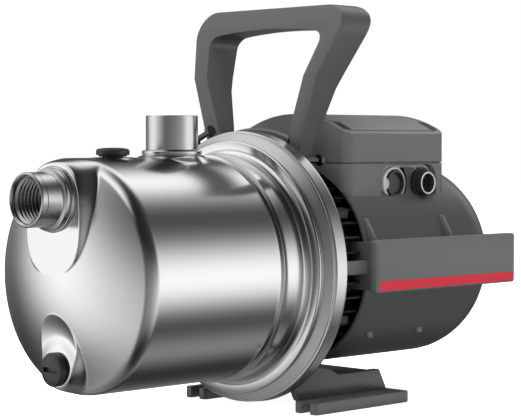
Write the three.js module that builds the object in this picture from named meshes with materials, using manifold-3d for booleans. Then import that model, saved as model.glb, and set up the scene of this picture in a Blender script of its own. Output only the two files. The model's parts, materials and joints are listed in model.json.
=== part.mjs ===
// Shallow well jet pump: a self-priming pump head clamped to a fan-cooled motor, on a foot bracket with a
// carrying handle. Millimetres. +X runs along the shaft from the suction port to the fan, +Z is up.
// Everything is drawn about the shaft, with x = 0 at the rear edge of the clamp band, and the whole pump is
// then moved so that its origin is the centre of its footprint on the surface it stands on.
import * as THREE from "three";
import { mergeVertices } from "three/addons/utils/BufferGeometryUtils.js";
import Module from "manifold-3d";

const wasm = await Module();
wasm.setup();

// ---------------------------------------------------------------- driving dimensions
const GAP = 0.3; // left between pieces that touch
const RUNNING_GAP = 0.05; // radial, between the shaft and what it turns in
const SHAFT_HEIGHT = 107.1; // of the shaft's centre line above the ground

// pump sleeve
const SLEEVE_RADIUS = 83;
const SLEEVE_WALL = 1.5;
const SLEEVE_SHOULDER_X = -168;
const SLEEVE_CROWN = 21.2; // how far the domed head stands in front of the shoulder
const SLEEVE_STEP_X = -46.4;
const SLEEVE_STEP = 1.4;
const LIP_RADIUS = SLEEVE_RADIUS + 15.9;
const LIP_X = -9.6; // rear face of the sleeve's lip
const LIP_TURN = 8.2; // how far the clamped lip slopes out beyond the flare
const BOSS_HALF_WIDTH = 31;
const BOSS_TOP_Z = SLEEVE_RADIUS - 0.6;
const BOSS_BOTTOM_Z = 3;
const DRAIN_RECESS_RADIUS = 22;

// threaded ports, plugs
const PORT_RADIUS = 19;
const PORT_BORE = 15.5;
const PORT_COLLAR_RADIUS = 22;
const SUCTION_HEIGHT = SLEEVE_RADIUS - 28.5; // above the shaft
const SUCTION_MOUTH_X = -211;
const DISCHARGE_X = -77.2;
const DISCHARGE_MOUTH_Z = 113.3;
const FILLER_X = -133.4;
const DRAIN_DROP = SLEEVE_RADIUS - 20; // below the shaft
const PLUG_HEAD_RADIUS = 11.9;
const PLUG_HEAD_HEIGHT = 5.4;
const PLUG_STEM_RADIUS = 8;
const PLUG_STEM_LENGTH = 9;
const SOCKET_DEPTH = 6;

// clamp band
const BAND_RADIUS = LIP_RADIUS + 3.9;
const BAND_WALL = 1.4;
const BAND_WIDTH = 12.2;
const BAND_LEG_DROP = 10.9;
const CLAMP_ANGLE = 24; // of the bolt, from straight up towards +Y, degrees

// hydraulics
const EJECTOR_X = -154;
const EJECTOR_BORE = 15;
const PLASTIC_WALL = 2.5;
const NOZZLE_TIP_X = -133;
const VENTURI_THROAT = 8;
const VENTURI_END_RADIUS = 20;
const VENTURI_END_X = -44;
const DIFFUSER_RADIUS = SLEEVE_RADIUS - SLEEVE_WALL - 3;
const IMPELLER_RADIUS = DIFFUSER_RADIUS - 16.5;
const IMPELLER_BLADES = 6;
const DIFFUSER_VANES = 8;

// shaft and motor
const SHAFT_RADIUS = 6; // at the impeller and the seal
const FRONT_JOURNAL = 8.5;
const REAR_JOURNAL = 7.5;
const ROTOR_SEAT = 11;
const FRONT_BEARING_OUTER = 20;
const FRONT_BEARING_WIDTH = 12;
const REAR_BEARING_OUTER = 17.5;
const REAR_BEARING_WIDTH = 11;
const ROTOR_RADIUS = 31;
const AIR_GAP = 0.5;
const STATOR_RADIUS = 59;
const CORE_FRONT_X = 50;
const CORE_LENGTH = 66;
const FRAME_WALL = 2.7;
const FRAME_REAR_X = 147;
const FRAME_FINS = 10;
const FAN_X = 170;
const FAN_RADIUS = 60;
const FAN_BLADES = 8;
const STOOL_RIBS = 10;
const TIE_CIRCLE = 69; // radius of the long motor bolts' circle
const TIE_BOLT_RADIUS = 2.4;

// motor cover, terminal box
const COVER_RADIUS = 77.5;
const COVER_WALL = 2.5;
const COVER_FRONT_X = 45;
const COVER_REAR_X = 221;
const COVER_NOSE = 46; // length over which the rear end rounds over
const GRILLE_SLOTS = 12;
const BOX_FRONT_X = 48.5;
const BOX_LENGTH = 118.2;
const BOX_WIDTH = 114;
const BOX_CORNER = 8;
const BOX_PARTING_Z = 77.7;
const BOX_WALL = 2.8;
const LID_ARCH_RADIUS = 112;
const LID_CROWN_Z = 116;
const GASKET_THICKNESS = 1.2;
const GLAND_Z = 62;
const GLAND_FRONT_X = 101.5;
const GLAND_REAR_X = 135;
const GLAND_RADIUS = 9.4;

// side plate
const PLATE_FACE_Y = -90;
const PLATE_FRONT_X = 47;
const PLATE_REAR_X = 214;
const PLATE_TOP_Z = 20.9;
const PLATE_BOTTOM_Z = -18.5;
const STRIPE_HEIGHT = 7;

// base bracket
const FOOT_SPACING = 120.6; // between the two strips' centre lines
const FOOT_WIDTH = 23.4;
const FOOT_THICKNESS = 8.9;
const FOOT_FRONT_X = 0.7;
const FOOT_LENGTH = 104.3;
const SLOT_WIDTH = 9;
const SLOT_LENGTH = 15;
const BRACKET_WALL = 6;

// handle
const HANDLE_TOP_Z = 196.5;
const HANDLE_KINK_Z = 144;
const HANDLE_FRONT_X = 6.3;
const HANDLE_LEAN_X = 26.3; // front face at the top
const HANDLE_BAR = 19; // thickness of the legs and the grip, seen from the front
const HANDLE_FOOT_HALF = 52; // half width at the foot
const HANDLE_KINK_HALF = 66.5;
const HANDLE_TOP_HALF = 84; // to the corner before it is rounded

// ---------------------------------------------------------------- finishes
const finish = (color, roughness, metalness) =>
  new THREE.MeshStandardMaterial({ color, roughness, metalness });
const STAINLESS = finish(0xc9cbcd, 0.24, 1.0);
const CAST = finish(0x3b3d40, 0.6, 0.3);
const GREY_PLASTIC = finish(0x606265, 0.5, 0.0);
const DARK_PLASTIC = finish(0x3d3f42, 0.5, 0.0);
const BLACK_PLASTIC = finish(0x1b1b1d, 0.42, 0.0);
const PALE_PLASTIC = finish(0xb9bbbc, 0.5, 0.0);
const IVORY_PLASTIC = finish(0xd9d4c4, 0.5, 0.0);
const RED_PLASTIC = finish(0xb81c2c, 0.4, 0.0);
const RUBBER = finish(0x141414, 0.85, 0.0);
const STEEL = finish(0x8d9196, 0.35, 1.0);
const ZINC = finish(0xa9adb2, 0.4, 1.0);
const ALUMINIUM = finish(0xb3b6ba, 0.45, 0.9);
const COPPER = finish(0xb2683c, 0.4, 0.8);
const CERAMIC = finish(0xe6e1d6, 0.3, 0.0);

// ---------------------------------------------------------------- solids
// A geometry as a manifold solid whose faces point out.
function toSolid(geometry) {
  const bare = geometry.index ? geometry.toNonIndexed() : geometry.clone();
  const open = new THREE.BufferGeometry().setAttribute("position", bare.getAttribute("position"));
  const merged = mergeVertices(open, 1e-4);
  const place = merged.getAttribute("position").array;
  const corner = merged.index.array;
  const triangles = [];
  let volume = 0;
  const a = new THREE.Vector3();
  const b = new THREE.Vector3();
  const c = new THREE.Vector3();
  for (let i = 0; i < corner.length; i += 3) {
    const [p, q, r] = [corner[i], corner[i + 1], corner[i + 2]];
    if (p === q || q === r || r === p) continue;
    triangles.push(p, q, r);
    a.fromArray(place, 3 * p);
    b.fromArray(place, 3 * q);
    c.fromArray(place, 3 * r);
    volume += a.dot(b.cross(c));
  }
  if (volume < 0) triangles.reverse();
  return new wasm.Manifold(
    new wasm.Mesh({ numProp: 3, vertProperties: place, triVerts: new Uint32Array(triangles) }),
  );
}

const join = (first, ...rest) => rest.reduce((sum, next) => sum.add(next), first);
const cut = (body, ...tools) => tools.reduce((left, tool) => left.subtract(tool), body);
const common = (first, ...rest) => rest.reduce((left, next) => left.intersect(next), first);

// A profile of [along, radius] points turned about the axis named, through the place given.
function turned(profile, sides, axis = "x", place = [0, 0, 0]) {
  const points = profile.map(([along, radius]) => new THREE.Vector2(radius, along));
  const closed = profile[0][1] > 0 || profile[profile.length - 1][1] > 0;
  if (closed) points.push(points[0].clone());
  const geometry = new THREE.LatheGeometry(points, sides);
  if (axis === "x") geometry.rotateZ(-Math.PI / 2);
  if (axis === "z") geometry.rotateX(Math.PI / 2);
  return toSolid(geometry.translate(...place));
}

// A ring or tube between two places along the axis.
function ring(from, to, inner, outer, sides, axis = "x", place = [0, 0, 0]) {
  const profile = [[from, inner], [from, outer], [to, outer], [to, inner]];
  return turned(profile, sides, axis, place);
}

// A plain round bar between two places along the axis.
function bar(from, to, radius, sides, axis = "x", place = [0, 0, 0]) {
  return turned([[from, 0], [from, radius], [to, radius], [to, 0]], sides, axis, place);
}

function block(x0, x1, y0, y1, z0, z1) {
  const geometry = new THREE.BoxGeometry(x1 - x0, y1 - y0, z1 - z0);
  return toSolid(geometry.translate((x0 + x1) / 2, (y0 + y1) / 2, (z0 + z1) / 2));
}

// A block drawn about the shaft's centre line and then turned round it, angle in radians from +Y towards +Z.
function radialBlock(x0, x1, r0, r1, thickness, angle, lean = 0) {
  const geometry = new THREE.BoxGeometry(x1 - x0, r1 - r0, thickness);
  geometry.rotateX(lean).translate((x0 + x1) / 2, (r0 + r1) / 2, 0).rotateX(angle);
  return toSolid(geometry);
}

// An outline drawn in the two axes named, pulled along the third from one place to another.
function pulled(shape, axis, from, to, curveSegments = 4) {
  const options = { depth: to - from, bevelEnabled: false, curveSegments };
  const geometry = new THREE.ExtrudeGeometry(shape, options).translate(0, 0, from);
  if (axis === "x") geometry.rotateZ(Math.PI / 2).rotateY(Math.PI / 2); // shape x is Y, shape y is Z
  if (axis === "y") geometry.rotateX(Math.PI / 2).scale(1, -1, 1); // shape x is X, shape y is Z
  return toSolid(geometry);
}

function outline(points) {
  return new THREE.Shape(points.map(([u, v]) => new THREE.Vector2(u, v)));
}

function roundedRectangle(u0, u1, v0, v1, radius) {
  const shape = new THREE.Shape();
  shape.absarc(u1 - radius, v1 - radius, radius, 0, Math.PI / 2);
  shape.absarc(u0 + radius, v1 - radius, radius, Math.PI / 2, Math.PI);
  shape.absarc(u0 + radius, v0 + radius, radius, Math.PI, 1.5 * Math.PI);
  shape.absarc(u1 - radius, v0 + radius, radius, 1.5 * Math.PI, 2 * Math.PI);
  return shape;
}

const pieces = [];

// One named piece of the pump.
function piece(name, body, material) {
  const made = body.getMesh();
  const geometry = new THREE.BufferGeometry();
  geometry.setAttribute("position", new THREE.BufferAttribute(made.vertProperties, 3));
  geometry.setIndex(new THREE.BufferAttribute(made.triVerts, 1));
  geometry.computeVertexNormals();
  const mesh = new THREE.Mesh(geometry, material);
  mesh.name = name;
  pieces.push(mesh);
  return mesh;
}

const radians = (degrees) => (degrees * Math.PI) / 180;
const chordHeight = (radius, offset) => Math.sqrt(radius * radius - offset * offset);

const pump = new THREE.Group();
function assembly(...members) {
  const group = new THREE.Group();
  group.add(...members);
  pump.add(group);
  return group;
}

// ---------------------------------------------------------------- pump sleeve
const SLEEVE_SIDES = 28;
const PORT_SIDES = 16;
const SMALL_SIDES = 12;
const BOLT_SIDES = 6;
const JOURNAL_SIDES = 16;
const CORE_SIDES = 20;
const CROWN_STEPS = 4;
const BOSS_FACE_X = SLEEVE_SHOULDER_X - SLEEVE_CROWN + 1;
const DRAIN_FACE_X = SLEEVE_SHOULDER_X - SLEEVE_CROWN + 5;
const BAND_FRONT_X = -BAND_WIDTH;
const BAND_INNER = BAND_RADIUS - BAND_WALL - 1.6;
const FILLER_FACE_Z = SLEEVE_RADIUS + 0.4;
const DISCHARGE_FACE_Z = SLEEVE_RADIUS + 1.8;

// The outside of the sleeve moved inwards by a depth, as [x, radius] from the crown to the lip.
function sleeveProfile(depth) {
  const radius = SLEEVE_RADIUS - depth;
  const shoulder = 4; // of the rounded edge between head and barrel
  const points = [];
  for (let i = 0; i < CROWN_STEPS; i++) {
    const share = i / CROWN_STEPS;
    const drop = (SLEEVE_CROWN - shoulder) * share * share;
    points.push([SLEEVE_SHOULDER_X - SLEEVE_CROWN + drop + depth, (radius - shoulder) * share]);
  }
  points.push([SLEEVE_SHOULDER_X - shoulder + depth, radius - shoulder]);
  points.push([SLEEVE_SHOULDER_X + 2 + depth, radius]);
  points.push([SLEEVE_STEP_X + depth, radius]);
  points.push([SLEEVE_STEP_X + depth, radius + SLEEVE_STEP]);
  points.push([LIP_X - 13, radius + SLEEVE_STEP]);
  points.push([LIP_X - 3.9 + depth, LIP_RADIUS - LIP_TURN]);
  return points;
}

const lipCone = [[LIP_X - 1.4, LIP_RADIUS], [LIP_X, LIP_RADIUS]];
const outside = turned(
  [...sleeveProfile(0), ...lipCone, [LIP_X, 0]], SLEEVE_SIDES,
);
const inside = turned(
  [...sleeveProfile(SLEEVE_WALL), [LIP_X + 1, LIP_RADIUS - 5], [LIP_X + 1, 0]], SLEEVE_SIDES,
);
const suctionPlace = [0, 0, SUCTION_HEIGHT];
const drainPlace = [0, 0, -DRAIN_DROP];
const recessPlace = [0, 0, 10 - DRAIN_DROP];

// The oval boss under the suction port, as a bar along X squeezed to its width.
function suctionBoss(from, to, depth) {
  const tall = (BOSS_TOP_Z - BOSS_BOTTOM_Z) / 2;
  const geometry = new THREE.CylinderGeometry(1, 1, to - from, 28).rotateZ(Math.PI / 2);
  geometry.scale(1, BOSS_HALF_WIDTH - depth, tall - depth);
  return toSolid(geometry.translate((from + to) / 2, 0, (BOSS_TOP_Z + BOSS_BOTTOM_Z) / 2));
}

function bosses(depth) {
  const bossBack = SLEEVE_SHOULDER_X + 30;
  return [
    suctionBoss(BOSS_FACE_X + depth, bossBack, depth),
    bar(DRAIN_FACE_X + depth, bossBack, SLEEVE_RADIUS - DRAIN_DROP - depth, SMALL_SIDES, "x", drainPlace),
    bar(SLEEVE_RADIUS - 12, FILLER_FACE_Z - depth, 14 - depth, SMALL_SIDES, "z", [FILLER_X, 0, 0]),
    bar(SLEEVE_RADIUS - 12, DISCHARGE_FACE_Z - depth, 26 - depth, 24, "z", [DISCHARGE_X, 0, 0]),
  ];
}

const recess = bar(
  SLEEVE_SHOULDER_X - SLEEVE_CROWN - 5, DRAIN_FACE_X, DRAIN_RECESS_RADIUS, 20, "x", recessPlace,
);
const recessBack = bar(
  SLEEVE_SHOULDER_X - SLEEVE_CROWN - 5, DRAIN_FACE_X + SLEEVE_WALL, DRAIN_RECESS_RADIUS + SLEEVE_WALL,
  20, "x", recessPlace,
);
const stemHole = PLUG_STEM_RADIUS + 0.6;
const sleeve = cut(
  cut(join(outside, ...bosses(0)), recess),
  cut(join(inside, ...bosses(SLEEVE_WALL)), recessBack),
  bar(BOSS_FACE_X - 4, BOSS_FACE_X + 6, PORT_RADIUS + GAP, PORT_SIDES, "x", suctionPlace),
  bar(DRAIN_FACE_X - 4, DRAIN_FACE_X + 6, stemHole, SMALL_SIDES, "x", drainPlace),
  bar(SLEEVE_RADIUS - 8, FILLER_FACE_Z + 1, stemHole, SMALL_SIDES, "z", [FILLER_X, 0, 0]),
  bar(SLEEVE_RADIUS - 8, DISCHARGE_FACE_Z + 1, PORT_RADIUS + GAP, PORT_SIDES, "z", [DISCHARGE_X, 0, 0]),
);

// ---------------------------------------------------------------- ports and plugs
// A threaded port: along runs from the mouth inwards, so seat is where the collar rests.
function port(mouth, seat, inner, axis, place) {
  const inwards = Math.sign(inner - mouth);
  return turned(
    [
      [mouth, PORT_BORE + 2],
      [mouth, PORT_RADIUS - 0.6],
      [mouth + 0.6 * inwards, PORT_RADIUS],
      [seat - 5 * inwards, PORT_RADIUS],
      [seat - 3.6 * inwards, PORT_COLLAR_RADIUS],
      [seat - GAP * inwards, PORT_COLLAR_RADIUS],
      [seat - GAP * inwards, PORT_RADIUS],
      [inner, PORT_RADIUS],
      [inner, PORT_BORE],
      [mouth + 2.5 * inwards, PORT_BORE],
    ],
    PORT_SIDES, axis, place,
  );
}

const SUCTION_INNER_X = BOSS_FACE_X + 11;
const DISCHARGE_INNER_Z = SLEEVE_RADIUS - 6;

// A plug's head, stem and gasket seat; up is +1 or -1 along the axis, out of the pump.
function plug(face, up, crown, axis, place) {
  const under = face + 0.4 * up;
  return turned(
    [
      [face - PLUG_STEM_LENGTH * up, 0],
      [face - PLUG_STEM_LENGTH * up, PLUG_STEM_RADIUS],
      [face + 1.6 * up, PLUG_STEM_RADIUS],
      [face + 1.6 * up, PLUG_HEAD_RADIUS - 1],
      [under, PLUG_HEAD_RADIUS - 1],
      [under, PLUG_HEAD_RADIUS],
      [face + PLUG_HEAD_HEIGHT * up, PLUG_HEAD_RADIUS],
      [face + (PLUG_HEAD_HEIGHT + crown) * up, 0],
    ],
    SMALL_SIDES, axis, place,
  );
}

function plugSeal(face, up, axis, place) {
  const inner = PLUG_STEM_RADIUS + GAP;
  return ring(face + GAP * up, face + 1.3 * up, inner, PLUG_HEAD_RADIUS - 1.8, SMALL_SIDES, axis, place);
}

const SOCKET_RADIUS = 12.5;
const FILLER_SOCKET_TOP = chordHeight(SLEEVE_RADIUS - SLEEVE_WALL, SOCKET_RADIUS) - GAP;
const socketBore = PLUG_STEM_RADIUS + GAP;
const drainSlot = block(
  DRAIN_FACE_X - PLUG_HEAD_HEIGHT - 1, DRAIN_FACE_X - PLUG_HEAD_HEIGHT + 2.2,
  -PLUG_HEAD_RADIUS + 2, PLUG_HEAD_RADIUS - 2, -DRAIN_DROP - 1.4, -DRAIN_DROP + 1.4,
);
const fillerPlace = [FILLER_X, 0, 0];

assembly(
  piece("pump_sleeve", sleeve, STAINLESS),
  piece("suction_port", port(SUCTION_MOUTH_X, BOSS_FACE_X, SUCTION_INNER_X, "x", suctionPlace), STAINLESS),
  piece(
    "discharge_port",
    port(DISCHARGE_MOUTH_Z, DISCHARGE_FACE_Z, DISCHARGE_INNER_Z, "z", [DISCHARGE_X, 0, 0]), STAINLESS,
  ),
  piece(
    "filler_socket",
    ring(FILLER_SOCKET_TOP - SOCKET_DEPTH, FILLER_SOCKET_TOP, socketBore, SOCKET_RADIUS, SMALL_SIDES, "z", fillerPlace),
    STAINLESS,
  ),
  piece("filler_seal", plugSeal(FILLER_FACE_Z, 1, "z", fillerPlace), RUBBER),
  piece("filler_plug", plug(FILLER_FACE_Z, 1, 1.9, "z", fillerPlace), BLACK_PLASTIC),
  piece(
    "drain_socket",
    ring(
      DRAIN_FACE_X + SLEEVE_WALL + GAP, DRAIN_FACE_X + SLEEVE_WALL + GAP + SOCKET_DEPTH,
      socketBore, SOCKET_RADIUS, SMALL_SIDES, "x", drainPlace,
    ),
    STAINLESS,
  ),
  piece("drain_seal", plugSeal(DRAIN_FACE_X, -1, "x", drainPlace), RUBBER),
  piece("drain_plug", cut(plug(DRAIN_FACE_X, -1, 0.3, "x", drainPlace), drainSlot), BLACK_PLASTIC),
);

// ---------------------------------------------------------------- ejector and hydraulics
const EJECTOR_FRONT_X = SUCTION_INNER_X + GAP;
const EJECTOR_END_X = EJECTOR_X + 34;
const VENTURI_FRONT_X = NOZZLE_TIP_X + 6;

// The ejector chamber's outside or inside: an inlet elbow over a level barrel.
function ejectorForm(radius, reach) {
  const ball = new THREE.SphereGeometry(radius, SMALL_SIDES, 8).translate(EJECTOR_X, 0, SUCTION_HEIGHT);
  return join(
    bar(EJECTOR_FRONT_X - reach, EJECTOR_X, radius, SMALL_SIDES, "x", suctionPlace),
    toSolid(ball),
    bar(0, SUCTION_HEIGHT, radius, SMALL_SIDES, "z", [EJECTOR_X, 0, 0]),
    bar(EJECTOR_X - EJECTOR_BORE - PLASTIC_WALL - reach, EJECTOR_END_X + reach, radius, SMALL_SIDES),
  );
}

const ejector = cut(ejectorForm(EJECTOR_BORE + PLASTIC_WALL, 0), ejectorForm(EJECTOR_BORE, 1));
const nozzleFront = EJECTOR_X - EJECTOR_BORE - PLASTIC_WALL;
const nozzle = turned(
  [
    [nozzleFront, 9], [nozzleFront, EJECTOR_BORE - GAP], [nozzleFront + 6, EJECTOR_BORE - GAP],
    [nozzleFront + 6, 11.5], [NOZZLE_TIP_X, 5.5], [NOZZLE_TIP_X, 3.5], [nozzleFront + 8, 8],
  ],
  SMALL_SIDES,
);
const venturi = turned(
  [
    [VENTURI_FRONT_X, 12], [VENTURI_FRONT_X, EJECTOR_BORE - GAP], [EJECTOR_END_X, EJECTOR_BORE - GAP],
    [EJECTOR_END_X + 2, VENTURI_THROAT + PLASTIC_WALL + 2],
    [VENTURI_END_X - 8, VENTURI_END_RADIUS + PLASTIC_WALL], [VENTURI_END_X, VENTURI_END_RADIUS + PLASTIC_WALL],
    [VENTURI_END_X, VENTURI_END_RADIUS], [VENTURI_FRONT_X + 18, VENTURI_THROAT],
    [VENTURI_FRONT_X + 8, VENTURI_THROAT],
  ],
  SMALL_SIDES,
);

const DIFFUSER_FRONT_X = VENTURI_END_X + 0.5;
const DIFFUSER_REAR_X = LIP_X - 6;
const eyeOuter = VENTURI_END_RADIUS + 6.5;
const diffuserVanes = [];
for (let i = 0; i < DIFFUSER_VANES; i++) {
  const angle = (2 * Math.PI * i) / DIFFUSER_VANES;
  diffuserVanes.push(
    radialBlock(DIFFUSER_FRONT_X + 1, DIFFUSER_REAR_X, IMPELLER_RADIUS + 3, DIFFUSER_RADIUS - 1, 2.5, angle, 0.5),
  );
}
const diffuser = join(
  ring(DIFFUSER_FRONT_X, DIFFUSER_FRONT_X + 3, VENTURI_END_RADIUS + PLASTIC_WALL + GAP, DIFFUSER_RADIUS, CORE_SIDES),
  ring(DIFFUSER_FRONT_X, DIFFUSER_REAR_X, DIFFUSER_RADIUS - 2.5, DIFFUSER_RADIUS, CORE_SIDES),
  ring(DIFFUSER_FRONT_X - 6, DIFFUSER_FRONT_X + 0.5, VENTURI_END_RADIUS + PLASTIC_WALL + GAP, eyeOuter, CORE_SIDES),
  ring(DIFFUSER_FRONT_X + 2, DIFFUSER_FRONT_X + 7, eyeOuter - 2.2, eyeOuter, CORE_SIDES),
  ...diffuserVanes,
);
const NECK_X = DIFFUSER_FRONT_X + 3 + GAP;
const neckRing = ring(NECK_X, NECK_X + 3.6, VENTURI_END_RADIUS + 1.4, eyeOuter - 2.2 - GAP, CORE_SIDES);

const IMPELLER_FRONT_X = NECK_X + 0.4;
const IMPELLER_BACK_X = IMPELLER_FRONT_X + 16;
const IMPELLER_HUB = 11;
const blades = [];
for (let i = 0; i < IMPELLER_BLADES; i++) {
  const angle = (2 * Math.PI * i) / IMPELLER_BLADES;
  blades.push(radialBlock(IMPELLER_FRONT_X + 6.5, IMPELLER_BACK_X, 24, IMPELLER_RADIUS - 2, 2, angle, 0.35));
}
const impeller = join(
  ring(IMPELLER_FRONT_X, IMPELLER_FRONT_X + 8, VENTURI_END_RADIUS - 1, VENTURI_END_RADIUS + 1, JOURNAL_SIDES),
  ring(IMPELLER_FRONT_X + 5.5, IMPELLER_FRONT_X + 7.5, VENTURI_END_RADIUS - 1, IMPELLER_RADIUS, JOURNAL_SIDES),
  ring(IMPELLER_BACK_X - 2.5, IMPELLER_BACK_X, SHAFT_RADIUS + RUNNING_GAP, IMPELLER_RADIUS, JOURNAL_SIDES),
  ring(IMPELLER_FRONT_X + 6, IMPELLER_BACK_X, SHAFT_RADIUS + RUNNING_GAP, IMPELLER_HUB, JOURNAL_SIDES),
  ...blades,
);
const NUT_X = IMPELLER_FRONT_X + 6 - GAP;
const impellerNut = cut(bar(NUT_X - 6, NUT_X, 9, 6), bar(NUT_X - 7, NUT_X + 1, SHAFT_RADIUS - 1 + GAP, JOURNAL_SIDES));

const BACK_PLATE_X = LIP_X + 0.6;
const BACK_PLATE_THICKNESS = 1.4;
const SHAFT_OPENING = 15; // radius of the hole in the back plate and the stool, round the seal seat
const backPlate = ring(BACK_PLATE_X, BACK_PLATE_X + BACK_PLATE_THICKNESS, SHAFT_OPENING, LIP_RADIUS, SLEEVE_SIDES);
const GASKET_SECTION = 1.4; // half the thickness of the sleeve's gasket
const gasketRadius = LIP_RADIUS - 12.9;
const sleeveGasket = turned(
  [
    [BACK_PLATE_X - GAP, gasketRadius - GASKET_SECTION],
    [BACK_PLATE_X - GAP, gasketRadius + GASKET_SECTION],
    [BACK_PLATE_X - GAP - GASKET_SECTION, gasketRadius + GASKET_SECTION + 1],
    [BACK_PLATE_X - GAP - 2 * GASKET_SECTION, gasketRadius + GASKET_SECTION],
    [BACK_PLATE_X - GAP - 2 * GASKET_SECTION, gasketRadius - GASKET_SECTION],
    [BACK_PLATE_X - GAP - GASKET_SECTION, gasketRadius - GASKET_SECTION - 1],
  ],
  SLEEVE_SIDES,
);
const SEAL_SEAT_X = BACK_PLATE_X + 0.8;
const sealHead = ring(
  IMPELLER_BACK_X + GAP, SEAL_SEAT_X - GAP, SHAFT_RADIUS + RUNNING_GAP, SHAFT_OPENING - 2, JOURNAL_SIDES,
);
const sealSeat = ring(SEAL_SEAT_X, SEAL_SEAT_X + 6, SHAFT_RADIUS + 1.5, SHAFT_OPENING - GAP, JOURNAL_SIDES);

assembly(
  piece("ejector_body", ejector, DARK_PLASTIC),
  piece("ejector_nozzle", nozzle, DARK_PLASTIC),
  piece("venturi_tube", venturi, DARK_PLASTIC),
  piece("diffuser", diffuser, DARK_PLASTIC),
  piece("neck_ring", neckRing, RUBBER),
  piece("back_plate", backPlate, STAINLESS),
  piece("sleeve_gasket", sleeveGasket, RUBBER),
  piece("shaft_seal_seat", sealSeat, CERAMIC),
);

// ---------------------------------------------------------------- motor stool
const STOOL_X = BACK_PLATE_X + BACK_PLATE_THICKNESS + GAP;
const STOOL_DISC_END = 0.4;
const FRONT_BEARING_X = STOOL_DISC_END + 1.6;
const FRONT_BEARING_END = FRONT_BEARING_X + FRONT_BEARING_WIDTH;
const FRAME_OUTER = STATOR_RADIUS + GAP + FRAME_WALL;
const SPIGOT_END = COVER_FRONT_X + 1;
const RIB_RADIUS = COVER_RADIUS - 4;
const FRAME_FRONT_X = FRONT_BEARING_END + 8;
const tieAngles = [35, 145, 215, 325].map(radians);

const ribs = [];
for (let i = 0; i < STOOL_RIBS; i++) {
  const angle = (2 * Math.PI * i) / STOOL_RIBS;
  ribs.push(radialBlock(STOOL_DISC_END - 1, SPIGOT_END - 4, FRAME_OUTER + 1, RIB_RADIUS, 3.6, angle));
  ribs.push(radialBlock(STOOL_DISC_END - 1, 14, 22, FRAME_OUTER + 1, 4, angle));
}
const stoolLugs = tieAngles.map((angle) =>
  bar(SPIGOT_END - 18, SPIGOT_END, 5.2, BOLT_SIDES, "x", [0, TIE_CIRCLE * Math.cos(angle), TIE_CIRCLE * Math.sin(angle)]),
);
const stoolThreads = tieAngles.map((angle) =>
  bar(
    SPIGOT_END - 16, SPIGOT_END + 1, TIE_BOLT_RADIUS + GAP, BOLT_SIDES, "x",
    [0, TIE_CIRCLE * Math.cos(angle), TIE_CIRCLE * Math.sin(angle)],
  ),
);
const stoolDisc = turned(
  [
    [STOOL_X, SHAFT_OPENING], [STOOL_X, LIP_RADIUS], [STOOL_X + 4.5, LIP_RADIUS],
    [STOOL_DISC_END, LIP_RADIUS - LIP_TURN], [STOOL_DISC_END, SHAFT_OPENING],
  ],
  SLEEVE_SIDES,
);
const STOOL_FOOT_Z = -RIB_RADIUS - 1;
const stoolFoot = block(STOOL_DISC_END - 1, 30, -16, 16, STOOL_FOOT_Z, -FRAME_OUTER);
const motorStool = cut(
  join(
    stoolDisc,
    ring(STOOL_DISC_END - 1, FRONT_BEARING_END + 3, FRONT_BEARING_OUTER + GAP, FRONT_BEARING_OUTER + 4.5, JOURNAL_SIDES),
    ring(STOOL_DISC_END - 1, SPIGOT_END, FRAME_OUTER + GAP, FRAME_OUTER + 3, CORE_SIDES),
    stoolFoot,
    ...ribs,
    ...stoolLugs,
  ),
  ...stoolThreads,
  bar(FRAME_FRONT_X - GAP, SPIGOT_END + 1, FRAME_OUTER + GAP, CORE_SIDES),
);

// ---------------------------------------------------------------- clamp
const clampAngle = radians(90 - CLAMP_ANGLE); // from +Y towards +Z
const bandProfile = [
  [BAND_FRONT_X - 3, BAND_RADIUS - BAND_LEG_DROP],
  [BAND_FRONT_X, BAND_RADIUS - 1.8],
  [-0.8, BAND_RADIUS],
  [0, BAND_RADIUS - 0.6],
  [2.8, BAND_RADIUS - BAND_LEG_DROP + 2],
  [1.5, BAND_RADIUS - BAND_LEG_DROP + 1.2],
  [-1.2, BAND_RADIUS - BAND_WALL - 0.6],
  [BAND_FRONT_X + 0.8, BAND_INNER],
  [BAND_FRONT_X - 1.7, BAND_RADIUS - BAND_LEG_DROP - 0.2],
];
const BAND_SPLIT = 9;
const EAR_THICKNESS = 3;
const CLAMP_BOLT_RADIUS = 2.5;
const CLAMP_HEAD_RADIUS = 4.6;
const boltSeat = BAND_RADIUS + 5;
const bandMiddle = BAND_FRONT_X / 2;

// A block on the band at the clamp bolt: across runs round the band, out is away from the shaft.
function atBolt(x0, x1, out0, out1, across0, across1) {
  const geometry = new THREE.BoxGeometry(x1 - x0, out1 - out0, across1 - across0);
  geometry.translate((x0 + x1) / 2, (out0 + out1) / 2, (across0 + across1) / 2).rotateX(clampAngle);
  return toSolid(geometry);
}

// A round bar that lies across the band's split.
function boltBar(across0, across1, radius) {
  const geometry = new THREE.CylinderGeometry(radius, radius, across1 - across0, BOLT_SIDES);
  geometry.rotateX(Math.PI / 2).translate(bandMiddle, boltSeat, (across0 + across1) / 2).rotateX(clampAngle);
  return toSolid(geometry);
}

const ear = (side) =>
  atBolt(
    bandMiddle - 4.5, bandMiddle + 4.5, BAND_RADIUS - 1.8, boltSeat + 4.5,
    side > 0 ? BAND_SPLIT / 2 : -BAND_SPLIT / 2 - EAR_THICKNESS,
    side > 0 ? BAND_SPLIT / 2 + EAR_THICKNESS : -BAND_SPLIT / 2,
  );
const clampBand = cut(
  join(
    cut(
      turned(bandProfile, SLEEVE_SIDES),
      atBolt(BAND_FRONT_X - 5, 5, BAND_RADIUS - 16, BAND_RADIUS + 2, -BAND_SPLIT / 2, BAND_SPLIT / 2),
    ),
    ear(1), ear(-1),
  ),
  boltBar(-20, 20, CLAMP_BOLT_RADIUS + GAP),
);
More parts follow.
